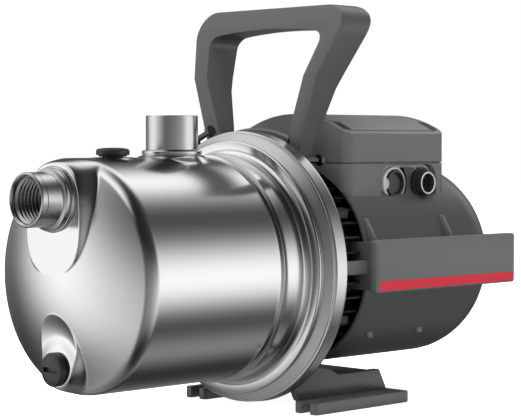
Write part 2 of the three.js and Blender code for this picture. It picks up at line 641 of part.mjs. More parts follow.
// A profile of [across, radius] points turned about the bolt's own axis.
function boltTurned(profile) {
  const points = profile.map(([across, radius]) => new THREE.Vector2(radius, across));
  const geometry = new THREE.LatheGeometry(points, BOLT_SIDES);
  geometry.rotateX(Math.PI / 2).translate(bandMiddle, boltSeat, 0).rotateX(clampAngle);
  return toSolid(geometry);
}

const clampBolt = boltTurned([
  [-BAND_SPLIT / 2 - 20, 0], [-BAND_SPLIT / 2 - 20, CLAMP_BOLT_RADIUS],
  [BAND_SPLIT / 2 + EAR_THICKNESS + GAP, CLAMP_BOLT_RADIUS],
  [BAND_SPLIT / 2 + EAR_THICKNESS + GAP, CLAMP_HEAD_RADIUS],
  [BAND_SPLIT / 2 + EAR_THICKNESS + 4, CLAMP_HEAD_RADIUS], [BAND_SPLIT / 2 + EAR_THICKNESS + 4, 0],
]);
const clampNut = cut(
  boltBar(
    -BAND_SPLIT / 2 - EAR_THICKNESS - 5, -BAND_SPLIT / 2 - EAR_THICKNESS - GAP, CLAMP_HEAD_RADIUS,
  ),
  boltBar(-BAND_SPLIT / 2 - EAR_THICKNESS - 6, -BAND_SPLIT / 2 - EAR_THICKNESS + 1, CLAMP_BOLT_RADIUS + GAP),
);

assembly(
  piece("motor_stool", motorStool, CAST),
  piece("clamp_band", clampBand, STAINLESS),
  piece("clamp_bolt", clampBolt, ZINC),
  piece("clamp_nut", clampNut, ZINC),
);

// ---------------------------------------------------------------- rotor, bearings
const REAR_BEARING_X = FRAME_REAR_X + 4;
const REAR_BEARING_END = REAR_BEARING_X + REAR_BEARING_WIDTH;
const SHAFT_REAR_X = FAN_X + 16;
const shaft = turned(
  [
    [NUT_X - 8, 0], [NUT_X - 8, SHAFT_RADIUS - 1], [NUT_X + GAP, SHAFT_RADIUS - 1], [NUT_X + GAP, SHAFT_RADIUS],
    [SEAL_SEAT_X + 8, SHAFT_RADIUS], [SEAL_SEAT_X + 8, FRONT_JOURNAL], [FRONT_BEARING_END + 0.5, FRONT_JOURNAL],
    [FRONT_BEARING_END + 0.5, ROTOR_SEAT - 1], [CORE_FRONT_X - 6, ROTOR_SEAT - 1], [CORE_FRONT_X - 6, ROTOR_SEAT],
    [CORE_FRONT_X + CORE_LENGTH + 6, ROTOR_SEAT], [CORE_FRONT_X + CORE_LENGTH + 6, ROTOR_SEAT - 1.5],
    [REAR_BEARING_X - 0.5, ROTOR_SEAT - 1.5], [REAR_BEARING_X - 0.5, REAR_JOURNAL],
    [SHAFT_REAR_X, REAR_JOURNAL], [SHAFT_REAR_X, 0],
  ],
  JOURNAL_SIDES,
);
const rotorCore = join(
  ring(CORE_FRONT_X, CORE_FRONT_X + CORE_LENGTH, ROTOR_SEAT + RUNNING_GAP, ROTOR_RADIUS, JOURNAL_SIDES),
  ring(CORE_FRONT_X - 5, CORE_FRONT_X + 1, ROTOR_RADIUS - 9, ROTOR_RADIUS - 1, JOURNAL_SIDES),
  ring(CORE_FRONT_X + CORE_LENGTH - 1, CORE_FRONT_X + CORE_LENGTH + 5, ROTOR_RADIUS - 9, ROTOR_RADIUS - 1, JOURNAL_SIDES),
);
const fanBlades = [];
for (let i = 0; i < FAN_BLADES; i++) {
  const angle = (2 * Math.PI * i) / FAN_BLADES;
  fanBlades.push(radialBlock(FAN_X + 1, FAN_X + 18, 20, FAN_RADIUS, 2.2, angle));
}
const fan = join(
  ring(FAN_X, FAN_X + 15, REAR_JOURNAL + RUNNING_GAP, 13, JOURNAL_SIDES),
  ring(FAN_X, FAN_X + 2.4, REAR_JOURNAL + RUNNING_GAP, FAN_RADIUS - 4, JOURNAL_SIDES),
  ...fanBlades,
);

// A plain ring whose flats clear the corners of the journal that turns in it.
function bearing(from, to, journal, outer) {
  const bore = (journal + RUNNING_GAP) / Math.cos(Math.PI / JOURNAL_SIDES);
  return ring(from, to, bore, outer, JOURNAL_SIDES);
}

assembly(
  piece("shaft", shaft, STEEL),
  piece("impeller", impeller, STAINLESS),
  piece("impeller_nut", impellerNut, STAINLESS),
  piece("shaft_seal_head", sealHead, BLACK_PLASTIC),
  piece("rotor_core", rotorCore, ALUMINIUM),
  piece("cooling_fan", fan, BLACK_PLASTIC),
);

// ---------------------------------------------------------------- motor
const CORE_END = CORE_FRONT_X + CORE_LENGTH;
const statorCore = ring(CORE_FRONT_X, CORE_END, ROTOR_RADIUS + AIR_GAP, STATOR_RADIUS, CORE_SIDES);

// The end turns outside the core, as one fat ring.
function winding(from, to) {
  const middle = (from + to) / 2;
  const inner = ROTOR_RADIUS + 7;
  const outer = STATOR_RADIUS - 9;
  return turned(
    [[from, inner], [from, outer], [middle, outer + 4], [to, outer], [to, inner], [middle, inner - 2]],
    JOURNAL_SIDES,
  );
}

const frameFins = [];
for (let i = 0; i < FRAME_FINS; i++) {
  const angle = (2 * Math.PI * (i + 0.5)) / FRAME_FINS;
  frameFins.push(radialBlock(SPIGOT_END + 4, FRAME_REAR_X - 6, FRAME_OUTER - 1, FRAME_OUTER + 4, 1.8, angle));
}
const motorFrame = join(
  ring(FRAME_FRONT_X, FRAME_REAR_X, STATOR_RADIUS + GAP, FRAME_OUTER, CORE_SIDES), ...frameFins,
);

const SHIELD_X = FRAME_REAR_X + GAP;
const shieldLugs = tieAngles.map((angle) =>
  bar(SHIELD_X, SHIELD_X + 8, 5.2, BOLT_SIDES, "x", [0, TIE_CIRCLE * Math.cos(angle), TIE_CIRCLE * Math.sin(angle)]),
);
const shieldHoles = tieAngles.map((angle) =>
  bar(
    SHIELD_X - 1, SHIELD_X + 9, TIE_BOLT_RADIUS + GAP, BOLT_SIDES, "x",
    [0, TIE_CIRCLE * Math.cos(angle), TIE_CIRCLE * Math.sin(angle)],
  ),
);
const rearShield = cut(
  join(
    ring(SHIELD_X, SHIELD_X + 5, ROTOR_SEAT + 1, FRAME_OUTER + 4, CORE_SIDES),
    ring(SHIELD_X, REAR_BEARING_END + 2, REAR_BEARING_OUTER + GAP, REAR_BEARING_OUTER + 4, JOURNAL_SIDES),
    ...shieldLugs,
  ),
  bar(REAR_BEARING_X - GAP, REAR_BEARING_END + 3, REAR_BEARING_OUTER + GAP, JOURNAL_SIDES),
  ...shieldHoles,
);

const TIE_LENGTH_START = SPIGOT_END - 15;
const tieBolts = tieAngles.map((angle, i) => {
  const place = [0, TIE_CIRCLE * Math.cos(angle), TIE_CIRCLE * Math.sin(angle)];
  const body = join(
    bar(TIE_LENGTH_START, SHIELD_X + 8 + GAP + 1, TIE_BOLT_RADIUS, BOLT_SIDES, "x", place),
    bar(SHIELD_X + 8 + GAP, SHIELD_X + 12, 4.4, 6, "x", place),
  );
  return piece("tie_bolt_" + (i + 1), body, ZINC);
});

assembly(
  piece("front_bearing", bearing(FRONT_BEARING_X, FRONT_BEARING_END, FRONT_JOURNAL, FRONT_BEARING_OUTER), STEEL),
  piece("rear_bearing", bearing(REAR_BEARING_X, REAR_BEARING_END, REAR_JOURNAL, REAR_BEARING_OUTER), STEEL),
  piece("stator_core", statorCore, STEEL),
  piece("front_winding", winding(CORE_FRONT_X - 22, CORE_FRONT_X - GAP), COPPER),
  piece("rear_winding", winding(CORE_END + GAP, CORE_END + 20), COPPER),
  piece("motor_frame", motorFrame, ALUMINIUM),
  piece("rear_shield", rearShield, CAST),
  ...tieBolts,
);

// ---------------------------------------------------------------- motor cover
const COVER_SIDES = 28;
const NOSE_STEPS = 4;
const END_RADIUS = 0.46 * COVER_RADIUS; // of the flat rear end

function coverProfile(depth) {
  const points = [[COVER_REAR_X - depth, 0], [COVER_REAR_X - depth, END_RADIUS - depth]];
  for (let i = NOSE_STEPS - 1; i >= 0; i--) {
    const angle = (Math.PI / 2) * (i / NOSE_STEPS);
    const radius = (COVER_RADIUS - depth) * Math.cos(angle) ** 0.55;
    points.push([COVER_REAR_X - COVER_NOSE - depth + COVER_NOSE * Math.sin(angle), radius]);
  }
  return points;
}

const coverOutside = turned([...coverProfile(0), [COVER_FRONT_X, COVER_RADIUS], [COVER_FRONT_X, 0]], COVER_SIDES);
const coverInside = turned(
  [...coverProfile(COVER_WALL), [COVER_FRONT_X - 1, COVER_RADIUS - COVER_WALL], [COVER_FRONT_X - 1, 0]],
  COVER_SIDES,
);
const grille = [];
for (let i = 0; i < GRILLE_SLOTS; i++) {
  const angle = (2 * Math.PI * i) / GRILLE_SLOTS;
  grille.push(radialBlock(COVER_REAR_X - COVER_WALL - 2, COVER_REAR_X + 1, 14, END_RADIUS - 6, 4, angle));
}

// ---------------------------------------------------------------- terminal box and lid
const HALF_BOX = BOX_WIDTH / 2;
const GLAND_MARGIN = 17.5; // from a gland's centre to the end of the window both glands share
const GLAND_WINDOW_BOTTOM = 44;
const GLAND_WINDOW_DEPTH = 11;
const BOX_TOP = BOX_PARTING_Z - GASKET_THICKNESS;
const glandWindow = block(
  GLAND_FRONT_X - GLAND_MARGIN, GLAND_REAR_X + GLAND_MARGIN, -HALF_BOX - 3, -HALF_BOX + GLAND_WINDOW_DEPTH,
  GLAND_WINDOW_BOTTOM, BOX_TOP - 1,
);
const motorCover = cut(coverOutside, coverInside, glandWindow, ...grille);
const BOX_REAR_X = BOX_FRONT_X + BOX_LENGTH;
const boxPlan = (inset) =>
  roundedRectangle(
    BOX_FRONT_X + inset, BOX_REAR_X - inset, -HALF_BOX + inset, HALF_BOX - inset, BOX_CORNER - inset / 2,
  );
const coverFill = (extra) => bar(0, COVER_REAR_X, COVER_RADIUS + extra, COVER_SIDES);
const glandHole = (x) => bar(-HALF_BOX - 6, -HALF_BOX + 8, GLAND_RADIUS - 1.4, SMALL_SIDES, "y", [x, 0, GLAND_Z]);
const LUG_INSET = 8;
const lidScrewPlaces = [
  [BOX_FRONT_X + LUG_INSET, -HALF_BOX + LUG_INSET], [BOX_REAR_X - LUG_INSET, -HALF_BOX + LUG_INSET],
  [BOX_FRONT_X + LUG_INSET, HALF_BOX - LUG_INSET], [BOX_REAR_X - LUG_INSET, HALF_BOX - LUG_INSET],
];
const boxLugs = lidScrewPlaces.map(([x, y]) => bar(BOX_TOP - 12, BOX_TOP, 5.4, BOLT_SIDES, "z", [x, y, 0]));
const boxThreads = lidScrewPlaces.map(([x, y]) => bar(BOX_TOP - 10, BOX_TOP + 1, 2.3, BOLT_SIDES, "z", [x, y, 0]));
const BOX_BASE_Z = 46;
const boxShell = pulled(boxPlan(0), "z", BOX_BASE_Z, BOX_TOP);
const boxHollow = pulled(boxPlan(BOX_WALL), "z", BOX_BASE_Z - 1, BOX_TOP + 1);
const RIM_LIMIT = BOX_TOP + 8;
const ARCH_CLEARANCE = GAP + BOX_WALL + GASKET_THICKNESS; // from the cover to the lid over its top
const floorBlock = pulled(boxPlan(0), "z", BOX_BASE_Z, RIM_LIMIT);
const terminalBox = cut(
  join(cut(boxShell, boxHollow), common(floorBlock, coverFill(GAP + BOX_WALL)), ...boxLugs),
  coverFill(GAP), glandWindow, ...boxThreads,
);

// The lid's outside or inside: an arch along X, inside the box's plan.
function lidForm(inset) {
  const radius = LID_ARCH_RADIUS - inset;
  const centre = LID_CROWN_Z - LID_ARCH_RADIUS;
  const reach = HALF_BOX - inset;
  const base = BOX_PARTING_Z + (inset ? -1 : 0);
  const side = Math.asin(reach / radius);
  const shape = new THREE.Shape();
  shape.moveTo(-reach, base);
  shape.lineTo(reach, base);
  shape.absarc(0, centre, radius, Math.PI / 2 - side, Math.PI / 2 + side);
  const arch = pulled(shape, "x", BOX_FRONT_X + inset, BOX_REAR_X - inset, 10);
  return common(arch, pulled(boxPlan(inset), "z", base - 1, LID_CROWN_Z + 1));
}

const RECESS_FLOOR = BOX_PARTING_Z + 6;
const lidColumns = lidScrewPlaces.map(([x, y]) => bar(BOX_PARTING_Z, LID_CROWN_Z, 6.6, BOLT_SIDES, "z", [x, y, 0]));
const lidWells = lidScrewPlaces.map(([x, y]) => bar(RECESS_FLOOR, LID_CROWN_Z + 2, 4.8, BOLT_SIDES, "z", [x, y, 0]));
const lidHoles = lidScrewPlaces.map(([x, y]) => bar(BOX_PARTING_Z - 1, RECESS_FLOOR + 1, 2.3, BOLT_SIDES, "z", [x, y, 0]));
const lidOuter = lidForm(0);
const terminalLid = cut(
  join(cut(lidOuter, lidForm(BOX_WALL)), ...lidColumns.map((column) => common(column, lidOuter))),
  coverFill(ARCH_CLEARANCE), ...lidWells, ...lidHoles,
);
const gasketStrip = cut(
  pulled(boxPlan(0.8), "z", BOX_TOP + GAP, RIM_LIMIT), pulled(boxPlan(BOX_WALL), "z", BOX_TOP, RIM_LIMIT + 1),
);
const gasketLevel = pulled(boxPlan(0), "z", BOX_TOP + GAP, BOX_PARTING_Z - GAP);
const lidGasket = cut(
  common(gasketStrip, join(gasketLevel, coverFill(ARCH_CLEARANCE - GAP))), coverFill(2 * GAP + BOX_WALL),
);
const lidScrews = lidScrewPlaces.map(([x, y], i) => {
  const body = join(
    bar(BOX_TOP - 8, RECESS_FLOOR + GAP + 1, 2, BOLT_SIDES, "z", [x, y, 0]),
    bar(RECESS_FLOOR + GAP, RECESS_FLOOR + 3.5, 3.9, BOLT_SIDES, "z", [x, y, 0]),
  );
  return piece("lid_screw_" + (i + 1), body, ZINC);
});

// electrical fittings inside the box
const FLOOR_Z = COVER_RADIUS + BOX_WALL + 2 * GAP;
const capacitor = bar(BOX_FRONT_X + 30, BOX_FRONT_X + 92, 13, SMALL_SIDES, "x", [0, 20, FLOOR_Z + 13.5]);
const terminalTeeth = [];
for (let i = 0; i < 5; i++) {
  const x = BOX_FRONT_X + 38 + 8 * i;
  terminalTeeth.push(block(x, x + 2, -30, -10, FLOOR_Z + 9, FLOOR_Z + 15));
}
const terminalBlock = join(
  block(BOX_FRONT_X + 36, BOX_FRONT_X + 74, -30, -10, FLOOR_Z, FLOOR_Z + 10), ...terminalTeeth,
);

// ---------------------------------------------------------------- cable glands
const GLAND_FACE_Y = -HALF_BOX + 2.2;
const GLAND_PLATE_THICKNESS = 2.8;
const GLAND_PLATE_BOTTOM = 49;
const glandPlate = cut(
  pulled(
    roundedRectangle(
      GLAND_FRONT_X - GLAND_MARGIN + GAP, GLAND_REAR_X + GLAND_MARGIN - GAP,
      GLAND_PLATE_BOTTOM, BOX_TOP - 1 - GAP, 6,
    ),
    "y", GLAND_FACE_Y, GLAND_FACE_Y + GLAND_PLATE_THICKNESS,
  ),
  glandHole(GLAND_FRONT_X), glandHole(GLAND_REAR_X),
);
const plateFront = GLAND_FACE_Y - GAP;
const GLAND_INNER_Y = -HALF_BOX + GLAND_WINDOW_DEPTH - 2;
const stemRadius = GLAND_RADIUS - 1.4 - GAP;

const blindGland = turned(
  [
    [GLAND_INNER_Y, 0], [GLAND_INNER_Y, stemRadius], [plateFront, stemRadius], [plateFront, GLAND_RADIUS + 1.6],
    [plateFront - 5, GLAND_RADIUS + 1.6], [plateFront - 5, 6], [plateFront - 3, 6], [plateFront - 3, 0],
  ],
  SMALL_SIDES, "y", [GLAND_FRONT_X, 0, GLAND_Z],
);
const glandBody = turned(
  [
    [GLAND_INNER_Y, 4.5], [GLAND_INNER_Y, stemRadius], [plateFront, stemRadius], [plateFront, GLAND_RADIUS + 1.6],
    [plateFront - 4, GLAND_RADIUS + 1.6], [plateFront - 4, 7], [plateFront - 7, 7], [plateFront - 7, 4.5],
  ],
  SMALL_SIDES, "y", [GLAND_REAR_X, 0, GLAND_Z],
);
const nutStart = plateFront - 4 - GAP;
const glandNut = turned(
  [
    [nutStart, 7 + GAP], [nutStart, GLAND_RADIUS], [nutStart - 4, GLAND_RADIUS], [nutStart - 10, 7.6],
    [nutStart - 10, 5.2], [nutStart - 4, 5.2], [nutStart - 4, 7 + GAP],
  ],
  SMALL_SIDES, "y", [GLAND_REAR_X, 0, GLAND_Z],
);

assembly(
  piece("motor_cover", motorCover, DARK_PLASTIC),
  piece("terminal_box", terminalBox, GREY_PLASTIC),
  piece("terminal_lid", terminalLid, GREY_PLASTIC),
  piece("lid_gasket", lidGasket, RUBBER),
  ...lidScrews,
  piece("capacitor", capacitor, ALUMINIUM),
  piece("terminal_block", terminalBlock, IVORY_PLASTIC),
  piece("gland_plate", glandPlate, PALE_PLASTIC),
  piece("blind_gland", blindGland, BLACK_PLASTIC),
  piece("cable_gland_body", glandBody, BLACK_PLASTIC),
  piece("cable_gland_nut", glandNut, BLACK_PLASTIC),
);

// ---------------------------------------------------------------- side plate
const plateBlock = block(PLATE_FRONT_X, PLATE_REAR_X, PLATE_FACE_Y, -40, PLATE_BOTTOM_Z, PLATE_TOP_Z);
const stripeRecess = block(
  PLATE_FRONT_X + 3, PLATE_REAR_X - 3, PLATE_FACE_Y - 1, PLATE_FACE_Y + 1.6,
  PLATE_BOTTOM_Z + 1.2, PLATE_BOTTOM_Z + 1.2 + STRIPE_HEIGHT,
);
const coverEnvelope = turned(
  [
    ...coverProfile(-GAP), [COVER_FRONT_X - 3, COVER_RADIUS + GAP], [COVER_FRONT_X - 3, 0],
  ],
  COVER_SIDES,
);
const sidePlate = cut(plateBlock, coverEnvelope, stripeRecess);
const sideStripe = block(
  PLATE_FRONT_X + 3 + GAP, PLATE_REAR_X - 3 - GAP, PLATE_FACE_Y, PLATE_FACE_Y + 1.6 - GAP,
  PLATE_BOTTOM_Z + 1.2 + GAP, PLATE_BOTTOM_Z + 1.2 + STRIPE_HEIGHT - GAP,
);

// ---------------------------------------------------------------- base bracket
const GROUND_Z = -SHAFT_HEIGHT;
const FOOT_TOP_Z = GROUND_Z + FOOT_THICKNESS;
const FOOT_REAR_X = FOOT_FRONT_X + FOOT_LENGTH;
const CRADLE_RADIUS = COVER_RADIUS + 1.5;

function footSide(side) {
  const centre = (side * FOOT_SPACING) / 2;
  const web = outline([
    [FOOT_FRONT_X + 4, FOOT_TOP_Z - 1], [FOOT_REAR_X - 10, FOOT_TOP_Z - 1], [FOOT_REAR_X - 22, FOOT_TOP_Z + 15],
    [FOOT_FRONT_X + 44, FOOT_TOP_Z + 30], [FOOT_FRONT_X + 4, FOOT_TOP_Z + 34],
  ]);
  const strip = block(
    FOOT_FRONT_X, FOOT_REAR_X, centre - FOOT_WIDTH / 2, centre + FOOT_WIDTH / 2, GROUND_Z, FOOT_TOP_Z,
  );
  const slot = block(
    FOOT_FRONT_X - 1, FOOT_FRONT_X + SLOT_LENGTH, centre - SLOT_WIDTH / 2, centre + SLOT_WIDTH / 2,
    GROUND_Z - 1, FOOT_TOP_Z + 1,
  );
  const rearSlot = block(
    FOOT_REAR_X - SLOT_LENGTH, FOOT_REAR_X + 1, centre - SLOT_WIDTH / 2, centre + SLOT_WIDTH / 2,
    GROUND_Z - 1, FOOT_TOP_Z + 1,
  );
  const webY = centre - side * (FOOT_WIDTH / 2 - BRACKET_WALL / 2);
  return cut(
    join(strip, pulled(web, "y", webY - BRACKET_WALL / 2, webY + BRACKET_WALL / 2)), slot, rearSlot,
  );
}

const bracketHalf = FOOT_SPACING / 2 - FOOT_WIDTH / 2 + BRACKET_WALL;
const frontWeb = cut(
  block(
    FOOT_FRONT_X + 4, FOOT_FRONT_X + 4 + BRACKET_WALL, -bracketHalf, bracketHalf, GROUND_Z + 2, GROUND_Z + 42,
  ),
  bar(FOOT_FRONT_X, FOOT_FRONT_X + 20, 62, SLEEVE_SIDES, "x", [0, 0, GROUND_Z - 46]),
);
const SADDLE_TOP = STOOL_FOOT_Z - GAP;
const saddleBlock = block(
  FOOT_FRONT_X + 4, FOOT_FRONT_X + 30, -bracketHalf, bracketHalf, SADDLE_TOP - 12, SADDLE_TOP,
);
const bracketScrewPlaces = [-9, 9];
const bracketScrewX = FOOT_FRONT_X + 22;
const baseBracket = cut(
  join(footSide(1), footSide(-1), frontWeb, saddleBlock),
  turned(
    [
      [BAND_FRONT_X - 6, 0], [BAND_FRONT_X - 6, BAND_RADIUS + 0.6], [FOOT_FRONT_X + 3.4, BAND_RADIUS + 0.6],
      [FOOT_FRONT_X + 3.4, 0],
    ],
    SLEEVE_SIDES,
  ),
  cut(
    bar(FOOT_FRONT_X, FOOT_REAR_X, CRADLE_RADIUS, COVER_SIDES),
    block(FOOT_FRONT_X - 1, FOOT_REAR_X, -bracketHalf, bracketHalf, GROUND_Z, SADDLE_TOP),
  ),
  coverEnvelope,
  ...bracketScrewPlaces.map((y) => bar(SADDLE_TOP - 13, SADDLE_TOP + 1, 2.8, BOLT_SIDES, "z", [bracketScrewX, y, 0])),
);
const bracketScrews = bracketScrewPlaces.map((y, i) => {
  const body = join(
    bar(SADDLE_TOP - 13, SADDLE_TOP - 1, 2.5, BOLT_SIDES, "z", [bracketScrewX, y, 0]),
    bar(SADDLE_TOP - 12 - GAP - 3.5, SADDLE_TOP - 12 - GAP, 4.6, 6, "z", [bracketScrewX, y, 0]),
  );
  return piece("base_screw_" + (i + 1), body, ZINC);
});

assembly(
  piece("side_plate", sidePlate, GREY_PLASTIC),
  piece("side_stripe", sideStripe, RED_PLASTIC),
  piece("base_bracket", baseBracket, GREY_PLASTIC),
  ...bracketScrews,
);

// ---------------------------------------------------------------- handle
const HANDLE_FOOT_Z = 62;
const HANDLE_REAR_FOOT_X = 16;
const HANDLE_DEPTH = 31;
const CORNER = 17;

// The handle seen from the front: a loop whose legs spread up to the kink, and on to the grip.
function handleOutline(inset) {
  const top = HANDLE_TOP_Z - inset * 0.98;
  const foot = HANDLE_FOOT_HALF - inset - 4;
  const kink = HANDLE_KINK_HALF - inset * 0.72;
  const grip = HANDLE_TOP_HALF - inset * 1.18;
  const round = (CORNER - inset * 0.45) * 1.35;
  const share = round / Math.hypot(grip - kink, top - HANDLE_KINK_Z);
  const side = grip + (kink - grip) * share;
  const sideZ = top + (HANDLE_KINK_Z - top) * share;
  const bottom = inset ? BAND_RADIUS - 8 : HANDLE_FOOT_Z;
  const shape = new THREE.Shape();
  shape.moveTo(-foot, bottom);
  shape.lineTo(foot, bottom);
  shape.lineTo(kink, HANDLE_KINK_Z);
  shape.lineTo(side, sideZ);
  shape.quadraticCurveTo(grip, top, grip - round, top);
  shape.lineTo(round - grip, top);
  shape.quadraticCurveTo(-grip, top, -side, sideZ);
  shape.lineTo(-kink, HANDLE_KINK_Z);
  shape.closePath();
  return shape;
}

const handleSide = outline([
  [HANDLE_FRONT_X, HANDLE_FOOT_Z - 1], [HANDLE_REAR_FOOT_X, HANDLE_FOOT_Z - 1], [HANDLE_REAR_FOOT_X + 1, 80],
  [HANDLE_FRONT_X + HANDLE_DEPTH - 7, HANDLE_KINK_Z - 10], [HANDLE_LEAN_X + HANDLE_DEPTH - 3, HANDLE_TOP_Z - 12],
  [HANDLE_LEAN_X + HANDLE_DEPTH - 2, HANDLE_TOP_Z - 4], [HANDLE_LEAN_X + HANDLE_DEPTH - 7, HANDLE_TOP_Z],
  [HANDLE_LEAN_X, HANDLE_TOP_Z], [HANDLE_FRONT_X, HANDLE_KINK_Z],
]);
const handleLoop = cut(
  pulled(handleOutline(0), "x", -5, 90, 5),
  pulled(handleOutline(HANDLE_BAR), "x", -6, 91, 5),
);
const handleCap = bar(HANDLE_FRONT_X - 4, HANDLE_REAR_FOOT_X + 12, COVER_RADIUS + 3.4, COVER_SIDES);
const handle = cut(
  join(
    common(handleLoop, pulled(handleSide, "y", -80, 80)),
    common(
      ring(HANDLE_FRONT_X, HANDLE_REAR_FOOT_X + 12, COVER_RADIUS + 3.4, BAND_RADIUS + 2.5, COVER_SIDES),
      pulled(handleOutline(0), "x", 0, 60, 5),
    ),
  ),
  handleCap,
);
const handleBoltPlaces = [-30, 30];
const handleBoltRadius = (COVER_RADIUS + BAND_RADIUS) / 2 + 3;
const handleBolts = handleBoltPlaces.map((degrees, i) => {
  const angle = radians(90 - degrees);
  const place = [0, handleBoltRadius * Math.cos(angle), handleBoltRadius * Math.sin(angle)];
  return { place, name: "handle_bolt_" + (i + 1) };
});
const boltHoles = handleBolts.map(({ place }) =>
  bar(HANDLE_FRONT_X - 12, HANDLE_REAR_FOOT_X + 14, 2.5 + GAP, BOLT_SIDES, "x", place),
);
const carrying = [piece("handle", cut(handle, ...boltHoles), GREY_PLASTIC)];
for (const { place, name } of handleBolts) {
  const body = join(
    bar(HANDLE_FRONT_X - 3, HANDLE_REAR_FOOT_X + 12 + GAP + 1, 2.5, BOLT_SIDES, "x", place),
    bar(HANDLE_REAR_FOOT_X + 12 + GAP, HANDLE_REAR_FOOT_X + 16, 4.6, 6, "x", place),
  );
  carrying.push(piece(name, body, ZINC));
}
assembly(...carrying);

// ---------------------------------------------------------------- place
pump.position.set(-(SUCTION_MOUTH_X + COVER_REAR_X) / 2, 0, SHAFT_HEIGHT);

export default pump;
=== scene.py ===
"""A shallow well jet pump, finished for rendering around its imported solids.

Pieces are drawn in millimetres about the shaft: +X along the shaft towards the fan, +Z up, and x = 0 at the
rear edge of the clamp band's rim. PLACE then takes each finished mesh into the model's frame, in metres.
"""
import json
import logging
import math
from dataclasses import dataclass
from enum import Enum
from typing import Callable, Iterable, Optional, Sequence

import bmesh
import bpy
from mathutils import Matrix, Vector


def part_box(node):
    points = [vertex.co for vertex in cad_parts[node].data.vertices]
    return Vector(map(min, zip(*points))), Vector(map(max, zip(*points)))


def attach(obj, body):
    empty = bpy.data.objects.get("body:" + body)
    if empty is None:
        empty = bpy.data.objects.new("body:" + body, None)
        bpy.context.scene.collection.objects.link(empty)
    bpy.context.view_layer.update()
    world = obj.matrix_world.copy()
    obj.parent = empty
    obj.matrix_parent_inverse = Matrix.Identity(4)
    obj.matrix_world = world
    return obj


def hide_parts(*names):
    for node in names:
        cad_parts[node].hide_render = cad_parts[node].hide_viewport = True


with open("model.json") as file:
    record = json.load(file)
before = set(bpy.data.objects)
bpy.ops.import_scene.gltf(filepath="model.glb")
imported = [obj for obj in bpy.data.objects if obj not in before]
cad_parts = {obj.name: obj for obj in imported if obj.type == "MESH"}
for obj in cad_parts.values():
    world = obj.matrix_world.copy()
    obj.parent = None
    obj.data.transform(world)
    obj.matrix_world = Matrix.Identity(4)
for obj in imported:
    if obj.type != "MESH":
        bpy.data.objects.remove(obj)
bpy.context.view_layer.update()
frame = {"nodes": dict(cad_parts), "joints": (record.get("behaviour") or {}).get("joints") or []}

LOG = logging.getLogger("jet_pump")
Pair = tuple[float, float]
Triple = tuple[float, float, float]
Profile = Sequence[Pair]

MM = 0.001
BAND_REAR_LEG = 2.8  # how far the clamp band's rear leg stands behind its rim
SHAFT_HEIGHT = frame["joints"][0]["pos_m"][2]
RIM_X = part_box("clamp_band")[1].x - BAND_REAR_LEG * MM
PLACE = Matrix.Translation((RIM_X, 0.0, SHAFT_HEIGHT)) @ Matrix.Scale(MM, 4)
SHARP = 34.0  # degrees over which an edge is drawn sharp


class Axis(Enum):
    """The direction that a turned shape is turned about."""

    X = (1.0, 0.0, 0.0)
    Y = (0.0, 1.0, 0.0)
    Z = (0.0, 0.0, 1.0)

    @property
    def vector(self) -> Vector:
        """The axis as a vector."""
        return Vector(self.value)

    def point(self, along: float, radius: float) -> Vector:
        """A point of a profile.

        Args:
            along: its place along the axis.
            radius: its distance from the axis.

        Returns:
            The point.
        """
        if self is Axis.X:
            return Vector((along, 0.0, radius))
        if self is Axis.Y:
            return Vector((radius, along, 0.0))
        return Vector((radius, 0.0, along))


class Body(Enum):
    """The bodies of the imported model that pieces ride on."""

    FRAME = "pump_frame"
    FILLER_CAP = "filler_cap"
    DRAIN_CAP = "drain_cap"


def ease(edge0: float, edge1: float, value: float) -> float:
    """A smooth step from 0 at edge0 to 1 at edge1."""
    share = min(max((value - edge0) / (edge1 - edge0), 0.0), 1.0)
    return share * share * (3.0 - 2.0 * share)


def mix(first: float, second: float, share: float) -> float:
    """A value part of the way from first to second."""
    return first + (second - first) * share


# ------------------------------------------------------------------------------------------------ modelling
def revolve(
    bm: bmesh.types.BMesh,
    profile: Profile,
    steps: int,
    axis: Axis = Axis.X,
    centre: Triple = (0.0, 0.0, 0.0),
    closed: bool = True,
    sweep: float = math.tau,
    start: float = 0.0,
) -> None:
    """Adds a profile turned about an axis.

    Args:
        bm: the mesh to add to.
        profile: [along, radius] points.
        steps: number of facets in the sweep.
        axis: the direction turned about.
        centre: a point on the axis.
        closed: whether the last point joins the first.
        sweep: the angle turned through.
        start: the angle that the sweep starts at.
    """
    middle = Vector(centre)
    turn = Matrix.Rotation(start, 3, axis.vector)
    verts = [bm.verts.new(middle + turn @ axis.point(along, radius)) for along, radius in profile]
    edges = [bm.edges.new(pair) for pair in zip(verts, verts[1:])]
    geometry: list = [*verts, *edges]
    whole = abs(sweep - math.tau) < 1e-6
    if closed:
        edges.append(bm.edges.new((verts[-1], verts[0])))
        geometry.append(edges[-1])
        if not whole:
            geometry.append(bm.faces.new(verts))
    bmesh.ops.spin(
        bm, geom=geometry, cent=middle, axis=axis.vector, dvec=(0, 0, 0), angle=sweep, steps=steps,
        use_merge=whole, use_duplicate=False,
    )
    bmesh.ops.remove_doubles(bm, verts=bm.verts[:], dist=1e-4)


